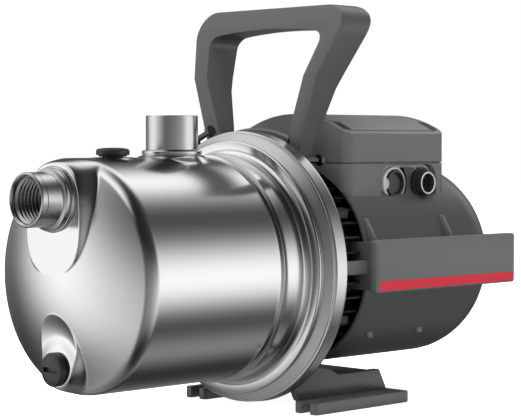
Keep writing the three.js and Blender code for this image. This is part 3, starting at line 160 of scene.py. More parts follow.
def thread_ridge(
    bm: bmesh.types.BMesh, axis: Axis, centre: Vector, start: float, turns: float, pitch: float,
    radius: float, height: float, inwards: bool = True, per_turn: int = 40,
) -> None:
    """Adds the ridge of a screw thread as a closed helical bar.

    Args:
        bm: the mesh to add to.
        axis: the thread's axis.
        centre: a point on the axis.
        start: where along the axis the thread starts.
        turns: number of turns; a negative pitch runs the other way.
        pitch: advance for each turn.
        radius: radius of the wall that the ridge stands on.
        height: height of the ridge.
        inwards: whether the ridge points to the axis.
        per_turn: facets in one turn.
    """
    half = abs(pitch) * 0.44
    sign = -1.0 if inwards else 1.0
    section = [
        (start - half, radius - sign * 0.5), (start + half, radius - sign * 0.5), (start + half, radius),
        (start + half * 0.2, radius + sign * height), (start - half * 0.2, radius + sign * height),
        (start - half, radius),
    ]
    verts = [bm.verts.new(centre + axis.point(along, out)) for along, out in section]
    face = bm.faces.new(verts)
    steps = round(turns * per_turn)
    bmesh.ops.spin(
        bm, geom=[face, *face.edges, *face.verts], cent=centre, axis=axis.vector,
        dvec=axis.vector * (pitch / per_turn), angle=turns * math.tau, steps=steps,
        use_merge=False, use_duplicate=False,
    )


def block(
    bm: bmesh.types.BMesh, low: Sequence[float], high: Sequence[float], round_over: float = 0.0,
    segments: int = 3,
) -> list[bmesh.types.BMVert]:
    """Adds a block, with rounded edges where asked.

    Args:
        bm: the mesh to add to.
        low: lowest corner.
        high: highest corner.
        round_over: radius of the rounded edges.
        segments: facets in a rounded edge.

    Returns:
        The block's vertices.
    """
    size = Vector(high) - Vector(low)
    middle = (Vector(high) + Vector(low)) / 2
    place = Matrix.Translation(middle) @ Matrix.Diagonal((*size, 1.0))
    made = bmesh.ops.create_cube(bm, size=1.0, matrix=place)["verts"]
    if round_over <= 0:
        return made
    edges = {edge for vert in made for edge in vert.link_edges}
    done = bmesh.ops.bevel(
        bm, geom=list(edges), offset=round_over, offset_type="OFFSET", segments=segments, profile=0.5,
        affect="EDGES", material=-1,
    )
    loose = {vert for face in done["faces"] for vert in face.verts}
    return list(loose | {vert for vert in made if vert.is_valid})


def prism(
    bm: bmesh.types.BMesh, outline: Sequence[Pair], axis: Axis, low: float, high: float,
) -> None:
    """Adds an outline pulled straight along an axis.

    Args:
        bm: the mesh to add to.
        outline: points in the two other axes: (y, z) for X, (x, z) for Y and (x, y) for Z.
        axis: the direction pulled along.
        low: where it starts.
        high: where it ends.
    """
    spots = {
        Axis.X: lambda u, v: (low, u, v),
        Axis.Y: lambda u, v: (u, low, v),
        Axis.Z: lambda u, v: (u, v, low),
    }
    face = bm.faces.new([bm.verts.new(spots[axis](u, v)) for u, v in outline])
    pulled = bmesh.ops.extrude_face_region(bm, geom=[face])["geom"]
    moved = [item for item in pulled if isinstance(item, bmesh.types.BMVert)]
    bmesh.ops.translate(bm, verts=moved, vec=axis.vector * (high - low))


def mesh_of(bm: bmesh.types.BMesh, name: str) -> bpy.types.Object:
    """A linked object that holds a closed bmesh with its faces pointing out.

    Args:
        bm: the mesh, which is freed.
        name: the object's name.

    Returns:
        The object, still in the drawing's millimetres.
    """
    bmesh.ops.recalc_face_normals(bm, faces=bm.faces[:])
    mesh = bpy.data.meshes.new(name)
    bm.to_mesh(mesh)
    bm.free()
    made = bpy.data.objects.new(name, mesh)
    bpy.context.scene.collection.objects.link(made)
    return made


Draw = Callable[[bmesh.types.BMesh], None]


def solid(name: str, draw: Draw) -> bpy.types.Object:
    """An object from a function that draws into an empty bmesh."""
    bm = bmesh.new()
    draw(bm)
    return mesh_of(bm, name)


def turned(name: str, *args: object, **named: object) -> bpy.types.Object:
    """An object turned about an axis, from the arguments of revolve."""
    return solid(name, lambda bm: revolve(bm, *args, **named))


def pulled(name: str, *args: object) -> bpy.types.Object:
    """An object pulled straight along an axis, from the arguments of prism."""
    return solid(name, lambda bm: prism(bm, *args))


def boxed(name: str, *args: object) -> bpy.types.Object:
    """A block as an object, from the arguments of block."""
    return solid(name, lambda bm: block(bm, *args))


class Cut(Enum):
    """How a tool changes a body."""

    AWAY = "DIFFERENCE"
    KEEP = "INTERSECT"
    ADD = "UNION"


def settle(target: bpy.types.Object) -> None:
    """Applies an object's modifiers to its mesh.

    Args:
        target: the object.
    """
    bpy.context.view_layer.update()
    graph = bpy.context.evaluated_depsgraph_get()
    done = bpy.data.meshes.new_from_object(target.evaluated_get(graph))
    target.modifiers.clear()
    target.data = done


def shape(target: bpy.types.Object, tool: bpy.types.Object, how: Cut) -> bpy.types.Object:
    """Cuts, keeps or joins a body with a tool, which is used up.

    Args:
        target: the body.
        tool: the tool.
        how: what the tool does.

    Returns:
        The body.
    """
    step = target.modifiers.new("shape", "BOOLEAN")
    step.object = tool
    step.operation = how.value
    step.solver = "EXACT"
    settle(target)
    bpy.data.objects.remove(tool)
    return target


def soften(target: bpy.types.Object, width: float, segments: int = 2, angle: float = 35.0) -> None:
    """Rounds an object's sharp edges.

    Args:
        target: the object.
        width: how far the rounding reaches, in millimetres.
        segments: facets in the rounding.
        angle: the angle in degrees over which an edge is rounded.
    """
    step = target.modifiers.new("soften", "BEVEL")
    step.width = width
    step.segments = segments
    step.limit_method = "ANGLE"
    step.angle_limit = math.radians(angle)
    step.harden_normals = False
    step.use_clamp_overlap = True
    settle(target)


def tidy(target: bpy.types.Object) -> None:
    """Merges the doubles that a cut leaves and drops faces without area.

    Args:
        target: the object.
    """
    bm = bmesh.new()
    bm.from_mesh(target.data)
    bmesh.ops.remove_doubles(bm, verts=bm.verts[:], dist=1e-3)
    bmesh.ops.dissolve_degenerate(bm, dist=1e-4, edges=bm.edges[:])
    bm.to_mesh(target.data)
    bm.free()


def piece(
    made: bpy.types.Object, finish: "Finish", nodes: Iterable[str] = (), sharp: float = SHARP,
    body: Body = Body.FRAME,
) -> None:
    """Places a finished piece in the model's frame, dresses it and fastens it to its body.

    Args:
        made: the piece in the drawing's millimetres.
        finish: its finish.
        nodes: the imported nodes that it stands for.
        sharp: the angle in degrees over which an edge is drawn sharp.
        body: the body that it rides on.
    """
    made.data.transform(PLACE)
    made.data.materials.clear()
    made.data.materials.append(finish.material())
    for face in made.data.polygons:
        face.use_smooth = True
    made.data.set_sharp_from_angle(angle=math.radians(sharp))
    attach(made, body.value)
    names = list(nodes)
    if names:
        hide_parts(*names)
    LOG.info("%s: %d faces on %s", made.name, len(made.data.polygons), body.value)


# ------------------------------------------------------------------------------------------------- finishes
def linear(level: int) -> float:
    """One 8-bit display level as linear light."""
    share = level / 255.0
    return share / 12.92 if share <= 0.04045 else ((share + 0.055) / 1.055) ** 2.4


def colour(red: int, green: int, blue: int) -> tuple[float, float, float, float]:
    """A display colour as the linear colour that a shader takes."""
    return (linear(red), linear(green), linear(blue), 1.0)


def grain_group() -> bpy.types.NodeTree:
    """The shared node group that gives a fine grain: a value about zero, and a bumped normal.

    Returns:
        The node group, made on first use.
    """
    found = bpy.data.node_groups.get("grain")
    if found is not None:
        return found
    group = bpy.data.node_groups.new("grain", "ShaderNodeTree")
    for name, kind, way in (
        ("Coordinate", "NodeSocketVector", "INPUT"), ("Scale", "NodeSocketFloat", "INPUT"),
        ("Depth", "NodeSocketFloat", "INPUT"), ("Value", "NodeSocketFloat", "OUTPUT"),
        ("Normal", "NodeSocketVector", "OUTPUT"),
    ):
        group.interface.new_socket(name, in_out=way, socket_type=kind)
    inlet = group.nodes.new("NodeGroupInput")
    outlet = group.nodes.new("NodeGroupOutput")
    noise = group.nodes.new("ShaderNodeTexNoise")
    noise.inputs["Detail"].default_value = 3.0
    bump = group.nodes.new("ShaderNodeBump")
    bump.inputs["Distance"].default_value = 0.001
    centre = group.nodes.new("ShaderNodeMath")
    centre.operation = "SUBTRACT"
    centre.inputs[1].default_value = 0.5
    link = group.links.new
    link(inlet.outputs["Coordinate"], noise.inputs["Vector"])
    link(inlet.outputs["Scale"], noise.inputs["Scale"])
    link(inlet.outputs["Depth"], bump.inputs["Strength"])
    link(noise.outputs["Fac"], bump.inputs["Height"])
    link(noise.outputs["Fac"], centre.inputs[0])
    link(centre.outputs[0], outlet.inputs["Value"])
    link(bump.outputs["Normal"], outlet.inputs["Normal"])
    return group


@dataclass(frozen=True)
class Finish:
    """A surface finish: one Principled shader with a fine grain.

    Attributes:
        name: the finish's name.
        slot: the record's material slot.
        colour: linear colour.
        metallic: 0 or 1.
        roughness: mean roughness.
        uneven: how far the grain moves the roughness.
        grain: grain scale, in features a metre.
        depth: strength of the grain's bump.
        stretch: how the grain's coordinates are scaled, for brushed metal.
        turned: whether the grain runs round the shaft, as on drawn and spun metal.
        specular: strength of the shader's specular level.
    """

    name: str
    slot: str
    colour: tuple[float, float, float, float]
    metallic: float = 0.0
    roughness: float = 0.5
    uneven: float = 0.08
    grain: float = 900.0
    depth: float = 0.05
    stretch: Triple = (1.0, 1.0, 1.0)
    turned: bool = False
    specular: float = 0.5

    def material(self) -> bpy.types.Material:
        """The finish as a material, made on first use.

        Returns:
            The material.
        """
        label = "finish_" + self.name
        found = bpy.data.materials.get(label)
        if found is not None:
            return found
        made = bpy.data.materials.new(label)
        made.use_nodes = True
        made.diffuse_color = self.colour
        tree = made.node_tree
        shader = tree.nodes["Principled BSDF"]
        shader.inputs["Base Color"].default_value = self.colour
        shader.inputs["Metallic"].default_value = self.metallic
        shader.inputs["Specular IOR Level"].default_value = self.specular
        place = tree.nodes.new("ShaderNodeTexCoord")
        scale = tree.nodes.new("ShaderNodeVectorMath")
        scale.operation = "MULTIPLY"
        scale.inputs[1].default_value = self.stretch
        grain = tree.nodes.new("ShaderNodeGroup")
        grain.node_tree = grain_group()
        grain.inputs["Scale"].default_value = self.grain
        grain.inputs["Depth"].default_value = self.depth
        spread = tree.nodes.new("ShaderNodeMath")
        spread.operation = "MULTIPLY_ADD"
        spread.inputs[1].default_value = self.uneven * 2
        spread.inputs[2].default_value = self.roughness
        link = tree.links.new
        source = place.outputs["Object"]
        if self.turned:
            source = self._about_shaft(tree, source)
        link(source, scale.inputs[0])
        link(scale.outputs["Vector"], grain.inputs["Coordinate"])
        link(grain.outputs["Value"], spread.inputs[0])
        link(spread.outputs[0], shader.inputs["Roughness"])
        link(grain.outputs["Normal"], shader.inputs["Normal"])
        return made

    @staticmethod
    def _about_shaft(
        tree: bpy.types.NodeTree, source: bpy.types.NodeSocket
    ) -> bpy.types.NodeSocket:
        """Turns coordinates into place along the shaft and distance from it.

        Args:
            tree: the material's node tree.
            source: object coordinates.

        Returns:
            The socket with (along, out, 0).
        """
        split = tree.nodes.new("ShaderNodeSeparateXYZ")
        lower = tree.nodes.new("ShaderNodeMath")
        lower.operation = "SUBTRACT"
        lower.inputs[1].default_value = SHAFT_HEIGHT
        flat = tree.nodes.new("ShaderNodeCombineXYZ")
        length = tree.nodes.new("ShaderNodeVectorMath")
        length.operation = "LENGTH"
        joined = tree.nodes.new("ShaderNodeCombineXYZ")
        link = tree.links.new
        link(source, split.inputs[0])
        link(split.outputs["Z"], lower.inputs[0])
        link(split.outputs["Y"], flat.inputs["Y"])
        link(lower.outputs[0], flat.inputs["Z"])
        link(flat.outputs[0], length.inputs[0])
        link(split.outputs["X"], joined.inputs["X"])
        link(length.outputs["Value"], joined.inputs["Y"])
        return joined.outputs[0]


class Finishes:
    """Every finish of the pump."""

    DRAWN = Finish(
        "drawn_stainless", "stainless", colour(214, 213, 212), 1.0, 0.17, 0.035, 520.0, 0.012, turned=True
    )
    SATIN = Finish(
        "satin_stainless", "stainless", colour(205, 204, 203), 1.0, 0.27, 0.06, 2400.0, 0.03, turned=True
    )
    TURNED = Finish("turned_stainless", "stainless", colour(200, 199, 198), 1.0, 0.24, 0.05, 1800.0, 0.03)
    # Painted shade: the thread's stainless is a darker copy of the turned stub's, standing in for shade in
    # the grooves.
    THREAD = Finish("cut_thread", "stainless", colour(190, 189, 188), 1.0, 0.3, 0.05, 1800.0, 0.03)
    BOLT = Finish("dark_zinc", "zinc", colour(84, 84, 82), 1.0, 0.42, 0.1, 900.0, 0.15)
    GREY = Finish("grey_plastic", "grey_plastic", colour(86, 86, 87), 0.0, 0.42, 0.06, 1400.0, 0.2)
    # Painted shade: the handle's grey plastic is a darker copy of the box's grey plastic, to offset the front
    # light falling on the handle.
    SHADED_GRIP = Finish("handle_plastic_painted_shade", "grey_plastic", colour(64, 64, 65), 0.0, 0.36, 0.06, 1400.0, 0.12)
    DARK = Finish("dark_plastic", "dark_plastic", colour(63, 64, 64), 0.0, 0.34, 0.05, 1300.0, 0.06)
    BLACK = Finish("black_plastic", "black_plastic", colour(24, 25, 26), 0.0, 0.38, 0.05, 1200.0, 0.05)
    PALE = Finish("pale_plastic", "pale_plastic", colour(178, 179, 180), 0.0, 0.45, 0.05, 1200.0, 0.04)
    RED = Finish(
        "red_plastic", "red_plastic", colour(188, 34, 52), 0.0, 0.55, 0.04, 1200.0, 0.03, specular=0.3
    )
    CAST = Finish("cast_black", "cast", colour(30, 31, 32), 0.0, 0.5, 0.1, 500.0, 0.3)
    RUBBER = Finish("black_rubber", "rubber", colour(28, 28, 28), 0.0, 0.6, 0.05, 900.0, 0.05)
    IVORY = Finish("ivory_plastic", "ivory_plastic", colour(214, 206, 186), 0.0, 0.5, 0.05, 900.0, 0.03)
    STEEL = Finish("bright_steel", "steel", colour(168, 168, 170), 1.0, 0.3, 0.06, 1500.0, 0.04)
    ALUMINIUM = Finish("cast_aluminium", "aluminium", colour(186, 188, 190), 1.0, 0.45, 0.1, 700.0, 0.2)
    COPPER = Finish("enamelled_copper", "copper", colour(178, 96, 50), 1.0, 0.32, 0.05, 1500.0, 0.05)
    CERAMIC = Finish("ceramic", "ceramic", colour(226, 224, 216), 0.0, 0.3, 0.03, 900.0, 0.02)


SLOT_FINISH = {
    finish.slot: finish
    for finish in (
        Finishes.DRAWN, Finishes.CAST, Finishes.GREY, Finishes.DARK, Finishes.BLACK, Finishes.PALE,
        Finishes.IVORY, Finishes.RED, Finishes.RUBBER, Finishes.STEEL, Finishes.BOLT, Finishes.ALUMINIUM,
        Finishes.COPPER, Finishes.CERAMIC,
    )
}


# --------------------------------------------------------------------------------------------- the pump head
@dataclass
class PumpSleeve:
    """The drawn stainless sleeve with its domed end, its two seats and its flared lip."""

    radius: float = 83.0
    crown_x: float = -189.2
    crown: float = 21.2
    corner: float = 11.0
    dome_rows: int = 120
    corner_rows: int = 26
    barrel_rows: int = 54
    steps: int = 320
    step_x: float = -46.4  # the low step where the barrel meets the flared end
    step: float = 1.4
    step_length: float = 1.6
    bead: float = 0.35
    flare_x: float = -27.0
    flare_bend: float = 6.0
    flare_sweep: int = 78  # degrees
    lip: Profile = (
        (-20.9, 93.9), (-20.3, 94.8), (-19.4, 95.2), (-18.6, 94.8), (-18.1, 93.8), (-17.7, 91.5),
    )
    pad_centre: float = 42.7
    pad_half: Pair = (31.0, 40.0)
    pad_power: float = 2.6  # 2 is an ellipse, more is squarer
    pad_top_x: float = -186.2
    pad_bottom_x: float = -188.8
    pad_wall: Triple = (0.6, 0.32, 9.0)  # least, gain with height, most height
    drain_height: float = -52.0
    drain_half: Pair = (20.5, 27.5)
    drain_wall: Triple = (0.5, 0.4, 7.0)
    drain_x: float = -184.4
    scoop_seat: Triple = (12.0, 24.0, 2.0)  # from, to, how far it steps back
    scoop_bowl: tuple[float, float, float, float] = (22.0, 16.4, 5.2, 1.6)  # from, span, depth, power
    suction_height: float = 54.5
    plug_height: float = -63.0
    outlet_x: float = -77.2
    outlet_seat: Triple = (84.2, 22.5, 28.0)  # height, flat, reach
    filler_x: float = -133.4
    filler_seat: Triple = (83.3, 13.0, 17.0)
    port_hole: float = 17.5
    plug_hole: float = 8.0

    def cap_join(self) -> Pair:
        """Where the dome meets its corner.

        Returns:
            The radius there, and the dome's slope.
        """
        inner = self.radius - self.corner
        angle = 0.45
        for _ in range(12):
            angle = math.atan(2 * self.crown * (inner + self.corner * math.sin(angle)) / self.radius**2)
        return inner + self.corner * math.sin(angle), angle

    def cap_x(self, out: float) -> float:
        """The bare dome's shape.

        Args:
            out: distance from the shaft.

        Returns:
            The place along the shaft.
        """
        join, angle = self.cap_join()
        if out <= join:
            return self.crown_x + self.crown * (out / self.radius) ** 2
        centre = self.crown_x + self.crown * (join / self.radius) ** 2 + self.corner * math.cos(angle)
        rise = min(out - (self.radius - self.corner), self.corner)
        return centre - math.sqrt(max(self.corner**2 - rise**2, 0.0))

    def pad_edge(self, y: float, z: float) -> float:
        """How far outside the suction port's pad a point lies.

        Args:
            y: across the pump.
            z: above the shaft.

        Returns:
            The distance, less than 0 on the pad.
        """
        across, up = self.pad_half
        u, v = abs(y) / across, abs(z - self.pad_centre) / up
        ring = (u**self.pad_power + v**self.pad_power) ** (1 / self.pad_power)
        span = mix(across, up, v / max(u + v, 1e-6))
        return (ring - 1.0) * span

    def face_x(self, y: float, z: float, out: float) -> float:
        """The formed dome's place along the shaft at a point across it.

        Args:
            y: across the pump.
            z: above the shaft.
            out: distance from the shaft.

        Returns:
            The place along the shaft.
        """
        place = self.cap_x(out)
        lean = (z - (self.pad_centre - self.pad_half[1])) / (2 * self.pad_half[1])
        pad = mix(self.pad_bottom_x, self.pad_top_x, min(max(lean, 0.0), 1.0))
        least, gain, most = self.pad_wall
        wall = least + gain * min(abs(pad - place), most)
        place = mix(place, pad, ease(wall, -wall, self.pad_edge(y, z)))
        across, up = self.drain_half
        ring = math.hypot(y / across, (z - self.drain_height) / up)
        scoop = self.scoop_x(math.hypot(y, z - self.plug_height))
        least, gain, most = self.drain_wall
        wall = least + gain * min(max(place - scoop, 0.0), most)
        return mix(place, scoop, ease(wall, -wall, (ring - 1.0) * 0.5 * (across + up)))

    def scoop_x(self, spread: float) -> float:
        """The drain scoop's shape.

        Args:
            spread: distance from the plug's axis.

        Returns:
            The place along the shaft.
        """
        start, end, back = self.scoop_seat
        place = self.drain_x + back * ease(start, end, spread)
        edge, span, depth, power = self.scoop_bowl
        if spread > edge:
            place -= depth * ((spread - edge) / span) ** power
        return place

    def seat_z(self, x: float, y: float, z: float) -> float:
        """The barrel's height once it is formed up to the ports on its top.

        Args:
            x: along the shaft.
            y: across the pump.
            z: height of the bare barrel.

        Returns:
            The formed height.
        """
        seats = (self.outlet_x, self.outlet_seat), (self.filler_x, self.filler_seat)
        for along, (level, flat, reach) in seats:
            spread = math.hypot(x - along, y)
            if z > 0 and spread < reach:
                z = mix(z, max(level, z), ease(reach, flat, spread))
        return z

    def profile(self) -> list[Pair]:
        """The sleeve's outside.

        Returns:
            [along, radius] points from the dome's middle to the end of its lip.
        """
        inner = self.radius - self.corner
        rings = [inner * i / self.dome_rows for i in range(self.dome_rows + 1)]
        quarter = math.pi / 2 / self.corner_rows
        rings += [inner + self.corner * math.sin(quarter * i) for i in range(1, self.corner_rows + 1)]
        points = [(self.cap_x(out), out) for out in rings]
        start, end = points[-1][0], self.step_x - self.step_length
        rows = self.barrel_rows
        points += [(mix(start, end, i / rows), self.radius) for i in range(1, rows + 1)]
        lift = self.radius + self.step
        for share in (0.15, 0.5, 0.85, 1.0):
            points.append((end + 1.9 * share, self.radius + self.step * ease(0, 1, share)))
        points += [(self.step_x + 0.5, lift + self.bead), (self.step_x + 1.1, lift + self.bead)]
        points += [(self.step_x + self.step_length, lift)]
        points += [(self.flare_x - before, lift) for before in (13.0, 7.0, 2.0)]
        bend = self.flare_bend
        for turn in range(0, self.flare_sweep + 1, 6):
            angle = math.radians(turn)
            points.append((self.flare_x + bend * math.sin(angle), lift + bend * (1 - math.cos(angle))))
        return [*points, *self.lip]

    def build(self) -> None:
        """Models the sleeve and dresses it."""
        bm = bmesh.new()
        revolve(bm, self.profile(), self.steps, closed=False)
        edge = self.cap_x(self.radius)
        for vert in bm.verts:
            out = math.hypot(vert.co.y, vert.co.z)
            if vert.co.x < edge - 1e-3:
                vert.co.x = self.face_x(vert.co.y, vert.co.z, out)
            elif vert.co.x < self.step_x:
                vert.co.z = self.seat_z(vert.co.x, vert.co.y, vert.co.z)
        holes = [face for face in bm.faces if self._in_hole(face.calc_center_median())]
        bmesh.ops.delete(bm, geom=holes, context="FACES")
        made = mesh_of(bm, "sleeve_skin")
        piece(made, Finishes.DRAWN, ["pump_sleeve"], 60.0)

    def _in_hole(self, point: Vector) -> bool:
        """Whether a point of the skin lies in the opening of a port or a plug.

        Args:
            point: a point of the skin.

        Returns:
            True in an opening.
        """
        if point.x < self.crown_x + self.crown:
            holes = (self.suction_height, self.port_hole), (self.plug_height, self.plug_hole)
            return any(math.hypot(point.y, point.z - height) < hole for height, hole in holes)
        holes = (self.outlet_x, self.port_hole), (self.filler_x, self.plug_hole)
        return point.z > 0 and any(math.hypot(point.x - along, point.y) < hole for along, hole in holes)


# Both stubs run from inside the sleeve out to the mouth, then back over the weld collar.
SUCTION_PROFILE: Profile = (
    (-177.0, 16.4), (-209.6, 16.4), (-210.9, 17.4), (-211.0, 17.8), (-210.6, 18.6), (-209.9, 19.0),
    (-206.3, 19.0), (-206.1, 18.5), (-205.7, 18.5), (-205.5, 19.0), (-194.6, 19.0), (-193.6, 19.2),
    (-193.0, 20.0), (-192.4, 21.6), (-191.6, 22.0), (-189.6, 22.0), (-189.2, 21.4), (-188.9, 21.4),
    (-188.5, 22.6), (-187.6, 23.2), (-184.0, 23.6), (-177.0, 20.0),
)
OUTLET_PROFILE: Profile = (
    (80.0, 16.4), (111.9, 16.4), (113.2, 17.4), (113.3, 18.6), (112.9, 19.0), (88.6, 19.0), (88.2, 19.6),
    (87.9, 21.6), (87.2, 22.0), (85.6, 22.0), (85.1, 21.4), (84.6, 21.4), (84.2, 22.6), (80.0, 22.6),
)


@dataclass
class ThreadedPort:
    """A threaded pipe stub with its weld collar."""

    name: str
    node: str
    axis: Axis
    centre: Triple
    profile: Profile
    thread_start: float
    pitch: float
    turns: float = 7.5
    bore: float = 16.3
    ridge: float = 1.6

    def build(self) -> None:
        """Models the stub and its thread."""
        stub = turned(self.name, self.profile, 128, self.axis, self.centre)
        piece(stub, Finishes.TURNED, [self.node], 28.0)
        thread = solid(
            self.name + "_thread",
            lambda bm: thread_ridge(
                bm, self.axis, Vector(self.centre), self.thread_start, self.turns, self.pitch, self.bore,
                self.ridge,
            ),
        )
        # The thread takes the darker copy of the stainless, as painted shade.
        piece(thread, Finishes.THREAD, sharp=28.0)


@dataclass
class ScrewPlug:
    """A slotted screw plug with a low domed head."""

    name: str
    node: str
    axis: Axis
    centre: Triple
    body: Body
    out: float
    radius: float = 11.9
    height: float = 5.5
    slot: Triple = (15.0, 3.4, 2.6)

    def build(self) -> None:
        """Models the plug, its stem and its slot."""
        sign, r, h = self.out, self.radius, self.height
        profile = [
            (0.0, 0.0), (0.0, r - 0.7), (sign * 0.5, r), (sign * (h - 1.5), r), (sign * (h - 0.5), r - 0.7),
            (sign * h, r - 2.0), (sign * (h + 0.5), r * 0.55), (sign * (h + 0.7), 0.0),
        ]
        head = turned(self.name, profile, 72, self.axis, self.centre)
        length, width, deep = self.slot
        top = sign * (h + 1.5)
        floor = sign * (h + 0.6 - deep)
        low, high = min(top, floor), max(top, floor)
        middle = Vector(self.centre)
        if self.axis is Axis.X:
            corner0 = middle + Vector((low, -length / 2, -width / 2))
            corner1 = middle + Vector((high, length / 2, width / 2))
        else:
            corner0 = middle + Vector((-width / 2, -length / 2, low))
            corner1 = middle + Vector((width / 2, length / 2, high))
        tool = boxed("slot", corner0, corner1)
        shape(head, tool, Cut.AWAY)
        piece(head, Finishes.BLACK, [self.node], 25.0, body=self.body)
        stem = [(-sign * 9.0, 0.0), (-sign * 9.0, 7.0), (-sign * 8.2, 7.6), (0.0, 7.6), (0.0, 0.0)]
        screw = turned(self.name + "_stem", stem, 48, self.axis, self.centre)
        piece(screw, Finishes.BLACK, body=self.body)


@dataclass
class ClampBand:
    """The V-section band that joins the pump head to the motor stool."""

    profile: Profile = (
        (-15.9, 91.4), (-16.3, 92.1), (-12.2, 99.9), (-11.9, 100.5), (-11.5, 100.6), (-11.2, 100.1),
        (-10.8, 100.0), (-10.5, 100.4), (-10.2, 101.6), (-9.5, 102.2), (-2.0, 102.7), (-0.4, 102.8),
        (0.3, 102.5), (1.0, 101.4), (2.8, 93.4), (2.6, 92.8), (1.9, 92.9), (-0.2, 100.6), (-1.0, 101.0),
        (-9.0, 100.6), (-10.4, 98.6), (-11.6, 98.2), (-15.2, 91.2),
    )

    def build(self) -> None:
        """Models the band."""
        band = turned("clamp_ring", self.profile, 256)
        piece(band, Finishes.SATIN, ["clamp_band"], 30.0)


# --------------------------------------------------------------------------------------------- the motor end
def arc_corner(
    before: Pair, corner: Pair, after: Pair, radius: float,
    steps: int,
) -> list[Pair]:
    """The points that round a corner between two straight edges.

    Args:
        before: a point on the first edge.
        corner: the sharp corner.
        after: a point on the second edge.
        radius: the rounding's radius.
        steps: facets in the rounding.

    Returns:
        The points from the first edge to the second.
    """
    tip = Vector(corner)
    back, ahead = (Vector(before) - tip).normalized(), (Vector(after) - tip).normalized()
    half = back.angle(ahead) / 2
    centre = tip + (back + ahead).normalized() * radius / math.sin(half)
    reach = radius / math.tan(half)
    first, last = tip + back * reach - centre, tip + ahead * reach - centre
    sweep = first.angle_signed(last)
    spokes = [Matrix.Rotation(-sweep * i / steps, 2) @ first for i in range(steps + 1)]
    return [tuple(centre + spoke) for spoke in spokes]


@dataclass
class CarryHandle:
    """The grey carrying handle that stands over the clamp."""

    corner: float = 17.0
    rounding: float = 4.2
    top: float = 196.5
    top_half: float = 84.0
    foot: Profile = ((43.0, 70.0), (53.5, 100.0))
    kink: Pair = (66.5, 143.6)
    inner_foot: Profile = ((38.7, 105.5), (29.0, 70.0))
    inner_kink: Pair = (52.7, 145.0)
    inner_corner: float = 7.5
    inner_half: float = 61.5
    grip_bottom: float = 177.0
    grip_half: float = 53.0
    arch: float = 3.2
    side: Profile = (
        (6.3, 66.0), (15.5, 66.0), (17.0, 80.0), (30.3, 134.0), (54.3, 184.5), (55.6, 190.0),
        (54.4, 194.6), (50.3, 196.7), (26.3, 196.7), (6.3, 144.0),
    )
    saddle: Profile = (
        (6.3, 80.9), (6.3, 103.4), (7.3, 104.6), (9.0, 105.0), (21.0, 100.0), (22.0, 98.6), (22.0, 80.9),
    )
    saddle_half: float = 22.0  # degrees

    def outer(self) -> list[Pair]:
        """Half of the outside seen along the shaft, from the foot up to the middle of the grip."""
        corner = arc_corner(self.kink, (self.top_half, self.top), (0.0, self.top), self.corner, 9)
        return [*self.foot, self.kink, *corner]

    def inner(self) -> list[Pair]:
        """Half of the opening seen along the shaft.

        Returns:
            Points from the middle of the grip down to the foot.
        """
        level = self.grip_bottom
        across = [self.grip_half * i / 8 for i in range(8)]
        points = [(y, level + self.arch * (1 - (y / self.grip_half) ** 2)) for y in across]
        corner = arc_corner(self.inner_kink, (self.inner_half, level), (0.0, level), self.inner_corner, 6)
        return [*points, *corner[::-1], self.inner_kink, *self.inner_foot]

    def build(self) -> None:
        """Models the handle and the saddle that it stands on."""
        outer, inner = self.outer(), self.inner()
        outline = outer + [(-y, z) for y, z in reversed(outer)] + [(-y, z) for y, z in reversed(inner)]
        outline += inner[1:]
        body = pulled("handle_body", outline, Axis.X, -5.0, 70.0)
        shape(body, pulled("side", self.side, Axis.Y, -80.0, 80.0), Cut.KEEP)
        tidy(body)
        soften(body, self.rounding, 5, 24.0)
        half = math.radians(self.saddle_half)
        foot = turned("handle_saddle", self.saddle, 64, sweep=2 * half, start=-half)
        # The handle and its saddle take the darker copy of the grey plastic, as painted shade.
        piece(body, Finishes.SHADED_GRIP, ["handle"], 50.0)
        piece(foot, Finishes.SHADED_GRIP)


